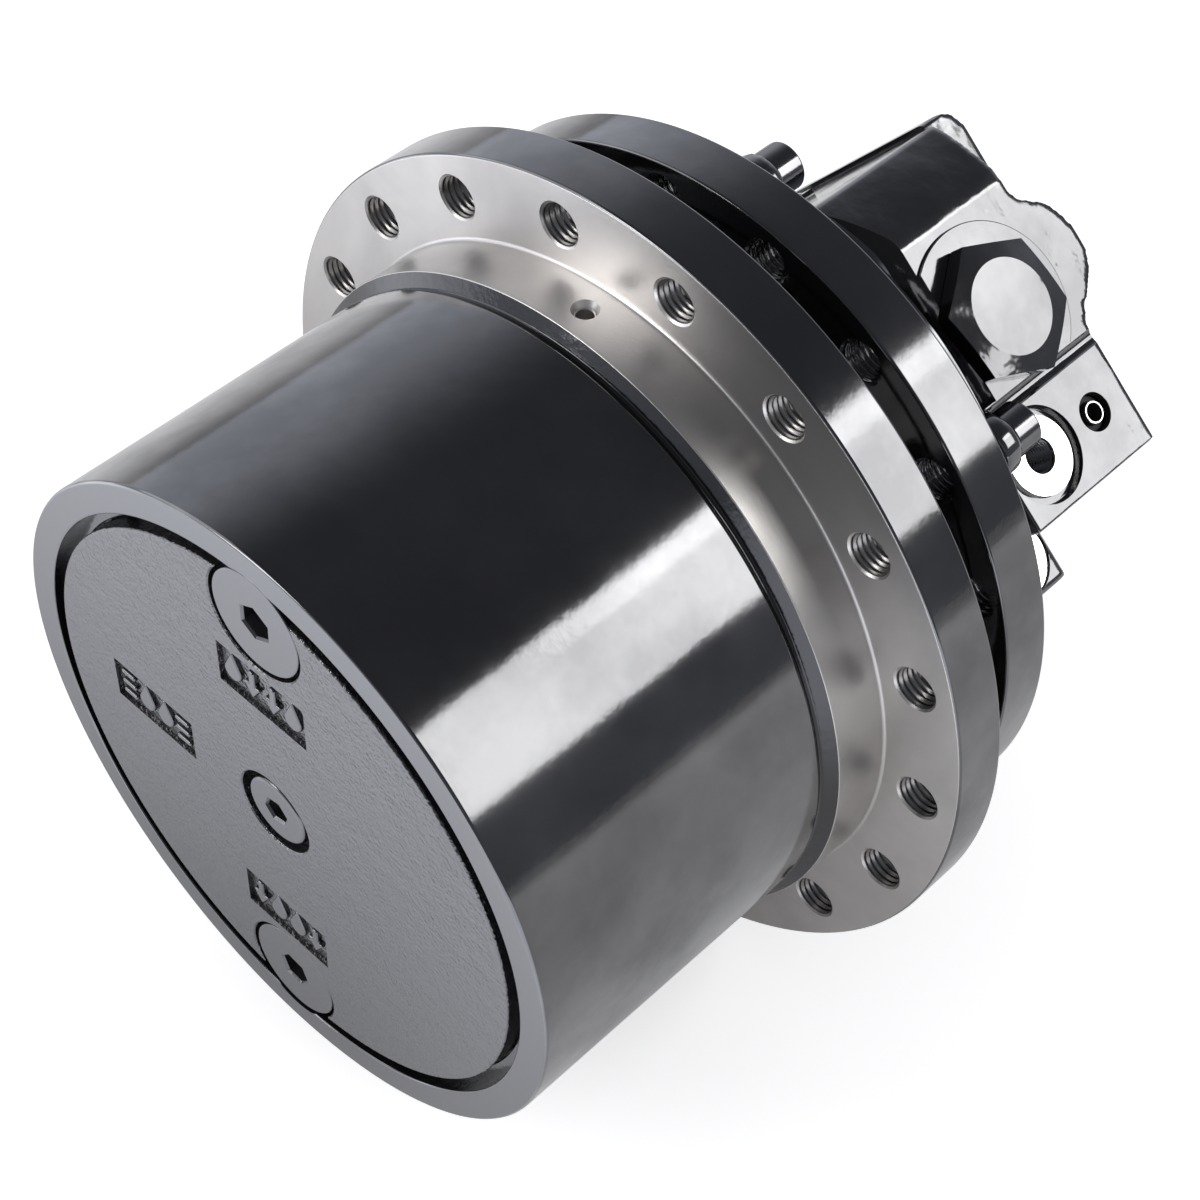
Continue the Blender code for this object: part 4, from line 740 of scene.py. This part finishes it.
def makeMotorCase():
    start, flangeBack, end = station["caseFront"], station["caseFlangeBack"], station["caseEnd"]
    halfDepth, halfWidth = motor["halfDepth"], motor["halfWidth"]
    bm = bmesh.new()
    base, ear, grooveRadius = motor["baseRadius"], motor["earRadius"], motor["grooveRadius"]
    turnedMesh(bm, [(0, start + 0.0003), (base, start + 0.0003), (base, flangeBack), (0, flangeBack)], 160)
    outline = []
    for k in range(144):
        angle = 2 * pi * k / 144
        outline.append((clamp(motor["radius"] * cos(angle), halfDepth),
                        clamp(motor["radius"] * sin(angle), halfWidth)))
    edge = end + motor["edgeStock"]
    prism(bm, outline, flangeBack - 0.002, edge, "y")
    block(bm, (0.0, flangeBack - 0.001, motor["blockBottom"]), (halfDepth, edge, motor["blockTop"]))
    block(bm, (-0.0465, flangeBack - 0.001, -0.0861), (0.0465, 0.0581, -0.0521))
    for angle in screws["angles"]:
        a, b = motorPlace(screws["circle"] - 0.001, radians(angle))
        turnedMesh(bm, [(0, start + 0.0003), (ear, start + 0.0003), (ear, flangeBack), (0, flangeBack)], 40,
                   (a, 0, b))
    for way in (-1, 1):     # the lobe's ends belong to the case
        low, high = sorted((way * 0.0668, way * halfDepth))
        prism(bm, lobeOutline, low, high, "x")
    piece = addPiece("motorCase", bm, "motorPaint")
    cast(piece, motor["voxel"], motor["smooth"])
    cutter = bmesh.new()
    block(cutter, (-0.0667, end, -0.08), (0.0667, 0.12, 0.08))
    change(piece, cutter)
    for way in (-1, 1):
        boss = bmesh.new()
        radius, seat = cap["seatRadius"], cap["seat"]
        bossProfile = [(0, 0.074), (radius + 0.0012, 0.074), (radius, seat - 0.001), (radius, seat, 0.0004),
                       (0, seat)]
        turnedMesh(boss, flipped(bossProfile, way), 144, (0, *motor["capAt"]), True)
        change(piece, boss, "UNION")
    # before each pad the casting slopes down, and a round groove parts the pads
    for way in (-1, 1):
        slope = bmesh.new()
        rings = [[slope.verts.new((way * a, y, z)) for a, y in slopeCorners] for z in motor["slopeEnds"]]
        slope.faces.new(rings[0])
        slope.faces.new(rings[1])
        for k in range(4):
            slope.faces.new([rings[0][k], rings[0][(k + 1) % 4], rings[1][(k + 1) % 4], rings[1][k]])
        change(piece, slope)
        groove = bmesh.new()
        turnedMesh(groove, [(0, 0.0292), (grooveRadius, 0.0292), (grooveRadius, 0.12), (0, 0.12)], 48,
                   (way * 0.0856, 0, motor["grooveAt"]))
        change(piece, groove)
        low, high = sorted((way * (halfDepth + 0.0001), way * 0.12))
        trim = bmesh.new()
        block(trim, (low, flangeBack, -0.08), (high, 0.12, motor["blockTop"]))
        change(piece, trim)
    bore(piece, [
        (0, 0.005), (0.11, 0.005), (0.11, start), (0.051, start), (0.051, 0.034), (0.0103, 0.034),
        (0.0103, 0.0433), (0, 0.0433)], (0, 0, 0), False, 96)
    headRoom = flangeBack + screws["height"] + 0.0024
    for angle in screws["angles"]:
        a, b = motorPlace(screws["circle"], radians(angle))
        bore(piece, [
            (0, start - 0.001), (screws["bore"], start - 0.001), (screws["bore"], flangeBack - 0.0006),
            (screws["head"] + 0.0012, flangeBack - 0.0006), (screws["head"] + 0.0012, headRoom),
            (0, headRoom)], (a, 0, b), False)
    bore(piece, [(0, -0.09), (0.0143, -0.09), (0.0143, -0.0717), (0.0083, -0.0717), (0.0083, 0.0717),
                 (0.0143, 0.0717), (0.0143, 0.09), (0, 0.09)], (0, *motor["capAt"]), True, 64)
    bore(piece, [
        (0, 0.062), (0.0058, 0.062), (0.0058, halfDepth - 0.0012), (0.0126, halfDepth - 0.0012),
        (0.0129, halfDepth - 0.0030), (0.0150, halfDepth - 0.0030), (0.0156, halfDepth + 0.0002),
        (0.0158, halfDepth + 0.002), (0, halfDepth + 0.002)], (0, *motor["portAt"]), True, 72)
    bore(piece, [(0, 0.074), (0.0059, 0.074), (0.0059, halfDepth - 0.0006), (0.0066, halfDepth + 0.0004),
                 (0.0066, halfDepth + 0.002), (0, halfDepth + 0.002)], (0, *motor["gaugeAt"]), True)
    for way in (-1, 1):
        bore(piece, flipped([(0, 0.0245), (0.0058, 0.0245), (0.0058, 0.0457), (0.0126, 0.0457),
                             (0.0131, 0.0463), (0.0131, 0.06), (0, 0.06)], way), (0, *motor["lowerAt"]), True)
    piece.data.transform(motorTurn)

    def bright(r, y, c, n):
        p, q = c.dot(motorAcross), c.dot(motorUp)
        main = sqrt((y - 0.0436) ** 2 + (q + 0.0407) ** 2) < 0.0128 and p > 0.06
        low = sqrt((y - 0.0436) ** 2 + (q + 0.0716) ** 2) < 0.0128 and abs(p) > 0.024 and q < -0.055
        return main or low

    painted(piece, "polishedSteel", bright)
    placed(piece, "fixed_body", "cast_paint", "motor_case", angle=40)
    bm = bmesh.new()
    y, z = motor["portAt"]
    threadSleeves(bm, [(0, y, z)], 0.0625, halfDepth - 0.0018, 0.0057, 0.0049, 0.00135, True, 48)
    # the port's threads take the dark screw steel: painted shade inside the port's bore
    threads = addPiece("portThreads", bm, "darkScrewAndShadeSteel", True)
    placed(threads, "fixed_body", "machined_steel", angle=60)


def makeRearCover():
    bm = bmesh.new()
    front, back, reach = station["rearFront"], station["rearBack"], motor["coverReach"]
    outline = roundedLoop([(front - 0.004, -0.0575, 0), (back, -0.0575, 0.012), (back, 0.0612, 0.0085),
                           (front - 0.004, 0.0612, 0)], 10)
    prism(bm, outline, -reach, reach, "x")
    turnedMesh(bm, [(0, -reach), (motor["lobeRadius"], -reach), (motor["lobeRadius"], reach), (0, reach)],
               72, (0, *motor["lobeAt"]), True)
    piece = addPiece("rearCover", bm, "motorPaint")
    cast(piece, 0.0011, 6)
    cutter = bmesh.new()
    block(cutter, (-0.2, 0.0, -0.2), (0.2, front, 0.2))
    change(piece, cutter)
    corners = [(sx * 0.055, sz * 0.031 - 0.012) for sx in (1, -1) for sz in (1, -1)]
    for a, b in corners:
        bore(piece, [(0, 0.0845), (0.0043, 0.0845), (0.0043, 0.0962), (0.0074, 0.0962), (0.0078, 0.12),
                     (0, 0.12)], (a, 0, b), False)
    piece.data.transform(motorTurn)
    placed(piece, "fixed_body", "cast_paint", "rear_cover", angle=40)
    bm = bmesh.new()
    for a, b in corners:
        capScrew(bm, (a, 0, b), 0.0963, 0.0062, 0.0062, 0.0048, 0.004)
    screwsPiece = addPiece("rearScrews", bm, "gearSteel", True)
    placed(screwsPiece, "fixed_body", "machined_steel", angle=25)


def capScrew(bm, place, seat, radius, height, socket, shank):
    # a socket head with a countersunk rim and its hexagon, closed at the shank
    top = seat + height
    turnedRings = [
        (0, seat - 0.006), (shank, seat - 0.006), (shank, seat), (radius, seat, 0.0003),
        (radius, top, 0.0009)]
    loop = roundedLoop([*turnedRings, (socket / sqrt(3) * 1.12, top), (0, top)], 4)[:-1]
    steps = 48
    rings = []
    for r, along in loop:
        if r < 1e-7:
            rings.append([bm.verts.new((place[0], along, place[2]))])
            continue
        rings.append([bm.verts.new((place[0] + r * sin(2 * pi * k / steps), along,
                                    place[2] + r * cos(2 * pi * k / steps))) for k in range(steps)])
    depth = height * 0.55
    for scale, along in ((1.0, top - 0.0005), (1.0, top - depth)):
        ring = []
        for k in range(steps):
            angle = 2 * pi * k / steps
            sector = (angle + pi / 6) % (pi / 3) - pi / 6
            r = scale * socket / 2 / cos(sector)
            ring.append(bm.verts.new((place[0] + r * sin(angle), along, place[2] + r * cos(angle))))
        rings.append(ring)
    rings.append([bm.verts.new((place[0], top - depth - 0.0008, place[2]))])
    for i in range(len(rings) - 1):
        ring, other = rings[i], rings[i + 1]
        for k in range(steps):
            n = (k + 1) % steps
            face = []
            for v in (ring[k % len(ring)], ring[n % len(ring)], other[n % len(other)], other[k % len(other)]):
                if v not in face:
                    face.append(v)
            bm.faces.new(face)


def makeCaseScrews():
    seat = station["caseFlangeBack"] + 0.0003
    for number, angle in enumerate(screws["angles"]):
        a, b = motorPlace(screws["circle"], radians(angle))
        bm = bmesh.new()
        capScrew(bm, (a, 0, b), seat, screws["head"], screws["height"], 0.008, 0.005)
        piece = addPiece("caseScrew" + str(number + 1), bm, "darkScrewAndShadeSteel", True)
        placed(piece, "fixed_body", "machined_steel", "case_screw_" + str(number + 1), angle=28)


# valve caps, gauge plug and bare plate
def makeCaps():
    y, z = motor["capAt"]
    for name, nodeName, way in (("valveCapA", "valve_cap_a", 1), ("valveCapB", "valve_cap_b", -1)):
        bm = bmesh.new()
        corner = cap["flats"] / sqrt(3)
        headProfile = [
            (0, 0.0722), (0.014, 0.0722), (0.014, cap["seat"] + 0.0003),
            (corner - 0.0008, cap["seat"] + 0.0003),
            (corner + 0.001, cap["seat"] + 0.0012), (corner + 0.001, cap["face"] - cap["drop"] - 0.0002),
            (cap["faceRadius"], cap["face"], 0.0004), (0, cap["face"])]
        turnedMesh(bm, flipped(headProfile, way), 144, (0, y, z), True)
        piece = addPiece(name, bm, "motorPaint")
        bm = bmesh.new()
        ends = sorted((way * 0.07, way * 0.12))
        prism(bm, hexagon(cap["flats"], cap["turned"]), ends[0], ends[1], "x", (0, y, z))
        change(piece, bm, "INTERSECT")
        edged(piece, 0.0006, 3, 35)
        piece.data.transform(motorTurn)
        placed(piece, "fixed_body", "gloss_paint", nodeName, angle=24)
    bm = bmesh.new()
    y, z = motor["gaugeAt"]
    turnedMesh(bm, [(0, 0.0745), (0.0056, 0.0745), (0.0056, 0.0812), (0.0039, 0.0812), (0.0037, 0.0835),
                    (0.0035, 0.0837), (0.0031, 0.0837), (0.0029, 0.0790), (0, 0.0782)], 48, (0, y, z), True)
    piece = addPiece("gaugePlug", bm, "blackRubber", True)
    painted(piece, "polishedSteel", lambda r, yy, c, n: c.dot(motorAcross) > 0.08345)
    placed(piece, "fixed_body", "machined_steel", "gauge_plug", angle=28)
    bm = bmesh.new()
    level, half, middle = motor["halfWidth"] + 0.0003, barePlate["half"], barePlate["middle"]
    inset, head = barePlate["screwInset"], barePlate["screwHead"]
    block(bm, (-half[0], middle - half[1], level),
          (half[0], middle + half[1], level + barePlate["thickness"]))
    for a in (-1, 1):
        for b in (-1, 1):
            spot = (a * (half[0] - inset), middle + b * (half[1] - inset), level + 0.0015)
            bmesh.ops.create_uvsphere(
                bm, u_segments=16, v_segments=8, radius=head,
                matrix=Matrix.Translation(spot) @ Matrix.Diagonal((1, 1, 0.6, 1)))
    plate = addPiece("barePlate", bm, "polishedSteel", True)
    # the plate's sides and underside take the black valley paint: painted shade on its edges
    painted(plate, "valleyAndShadePaint",
            lambda r, yy, c, n: n.dot(motorUp) < 0.3 and c.dot(motorUp) < level + 0.0014)
    placed(plate, "fixed_body", "machined_steel", "data_plate")


makeSpindle()
makeMotorCase()
makeRearCover()
makeCaseScrews()
makeCaps()
print("frame flange and motor end made")


# finishes of the pieces inside, by their record slots
slotFinish = {
    "gloss_paint": "glossPaint", "cast_paint": "motorPaint", "machined_steel": "threadSteel",
    "gear_steel": "gearSteel", "iron": "greyIron", "bronze": "bronze", "friction": "liningBrown",
    "rubber": "blackRubber",
}
for subpart in frame["record"]["subparts"]:
    inner = frame["nodes"][subpart["node"]]
    inner.data.materials.clear()
    inner.data.materials.append(shades[slotFinish[subpart["material_slot"]]])
    inner.data.shade_smooth()
    inner.data.set_sharp_from_angle(angle=radians(32))


# floor, backdrop and lamps
studio = {
    "floor": -0.1404, "floorGlow": 0.5, "frontGlow": 1.45, "ceiling": 0.1, "leftWall": 0.85,
    "rightWall": 0.24, "daylight": (0.89, 0.93, 1.04),
}


def rayShare(tree):
    paths = node(tree, "LightPath")
    first = node(tree, "Math", links={0: paths.outputs["Is Camera Ray"], 1: paths.outputs["Is Glossy Ray"]},
                 operation="ADD")
    return node(tree, "Math", links={0: first.outputs[0], 1: paths.outputs["Is Transmission Ray"]},
                operation="ADD", use_clamp=True).outputs[0], paths


def makeFloor():
    bm = bmesh.new()
    bmesh.ops.create_grid(bm, x_segments=1, y_segments=1, size=6.0)
    bmesh.ops.translate(bm, vec=(0, 0, studio["floor"]), verts=bm.verts)
    tree, shader = startMaterial("paleFloor")
    shader.inputs["Base Color"].default_value = (0.86, 0.86, 0.87, 1)
    shader.inputs["Roughness"].default_value = 0.9
    share, paths = rayShare(tree)
    # towards the camera the floor glows evenly, in reflections only in front of the drive: painted light on
    # the floor ahead of the drive, fading to painted shade near and behind it
    spot = node(tree, "TexCoord").outputs["Object"]
    parts = node(tree, "SeparateXYZ", links={0: spot})
    front = node(tree, "MapRange",
                 {"From Min": -0.4, "From Max": -0.16, "To Min": studio["frontGlow"], "To Max": 0.0},
                 {"Value": parts.outputs["Y"]}, interpolation_type="SMOOTHSTEP")
    level = node(tree, "Mix", links={0: paths.outputs["Is Camera Ray"], 2: front.outputs[0]})
    level.inputs[3].default_value = studio["floorGlow"]
    tinted = node(tree, "Mix", links={0: paths.outputs["Is Camera Ray"]}, data_type="RGBA")
    tinted.inputs[6].default_value = (*studio["daylight"], 1)
    tinted.inputs[7].default_value = (1, 1, 1, 1)
    glow = node(tree, "Emission", links={"Color": tinted.outputs[2]})
    strength = node(tree, "Math", links={0: share, 1: level.outputs[0]}, operation="MULTIPLY")
    tree.links.new(strength.outputs[0], glow.inputs["Strength"])
    both = node(tree, "AddShader", links={0: shader.outputs[0], 1: glow.outputs[0]})
    tree.links.new(both.outputs[0], tree.nodes["Material Output"].inputs["Surface"])
    floor = addPiece("floor", bm, "paleFloor")


def makeWorld():
    world = bpy.data.worlds.new("studio")
    bpy.context.scene.world = world
    world.use_nodes = True
    tree = world.node_tree
    background = tree.nodes["Background"]
    direction = node(tree, "TexCoord").outputs["Generated"]
    parts = node(tree, "SeparateXYZ", links={0: direction})
    side = node(tree, "MapRange", {"From Min": -0.5, "From Max": 0.6, "To Min": studio["leftWall"],
                                   "To Max": studio["rightWall"]}, {"Value": parts.outputs["X"]},
                interpolation_type="SMOOTHSTEP")
    lift = node(tree, "MapRange", {"From Min": 0.3, "From Max": 0.8}, {"Value": parts.outputs["Z"]},
                interpolation_type="SMOOTHSTEP")
    level = node(tree, "Mix", links={0: lift.outputs[0], 2: side.outputs[0]})
    level.inputs[3].default_value = studio["ceiling"]
    walls = node(tree, "Mix", {0: 1.0, 6: (*studio["daylight"], 1)}, {7: level.outputs[0]}, data_type="RGBA",
                 blend_type="MULTIPLY")
    paths = node(tree, "LightPath")
    seen = node(tree, "Mix", links={"Factor": paths.outputs["Is Camera Ray"]}, data_type="RGBA")
    soft = node(tree, "Mix", links={"Factor": paths.outputs["Is Diffuse Ray"]}, data_type="RGBA")
    tree.links.new(walls.outputs[2], soft.inputs[6])
    soft.inputs[7].default_value = (0.5, 0.5, 0.51, 1)
    tree.links.new(soft.outputs[2], seen.inputs[6])
    seen.inputs[7].default_value = (1, 1, 1, 1)
    tree.links.new(seen.outputs[2], background.inputs["Color"])
    background.inputs["Strength"].default_value = 1.0


def addLamp(name, aim, direction, distance, size, power, colour=(1, 1, 1)):
    data = bpy.data.lights.new(name, "AREA")
    data.shape, data.size, data.size_y = "RECTANGLE", size[0], size[1]
    data.energy, data.color = power, colour
    lamp = bpy.data.objects.new(name, data)
    bpy.context.scene.collection.objects.link(lamp)
    back = Vector(direction).normalized()
    along = Vector((0, 1, 0))
    long = (along - back * along.dot(back)).normalized()
    across = long.cross(back)
    lamp.matrix_world = Matrix.Translation(Vector(aim) + back * distance) @ Matrix(
        [[across[i], long[i], back[i]] for i in range(3)]).to_4x4()
    return lamp


makeFloor()
makeWorld()
keyWay, keyDistance = (0.652, 0.560, 0.511), 2.48
addLamp("keyBox", (0.0715, -0.10, 0.082), keyWay, keyDistance, (1.27, 1.25), 24.0)
addLamp("keyCore", (-0.2585, 0.03, 0.402), keyWay, keyDistance, (0.26, 0.9), 1.5)
addLamp("fillBox", (0.0, -0.1, 0.0), (-0.75, -0.35, 0.5), 1.6, (1.2, 1.4), 6.0)
addLamp("topBox", (0.0, -0.15, 0.0), (-0.47, -0.76, 0.44), 1.6, (0.6, 0.6), 7.0)
print("studio made")
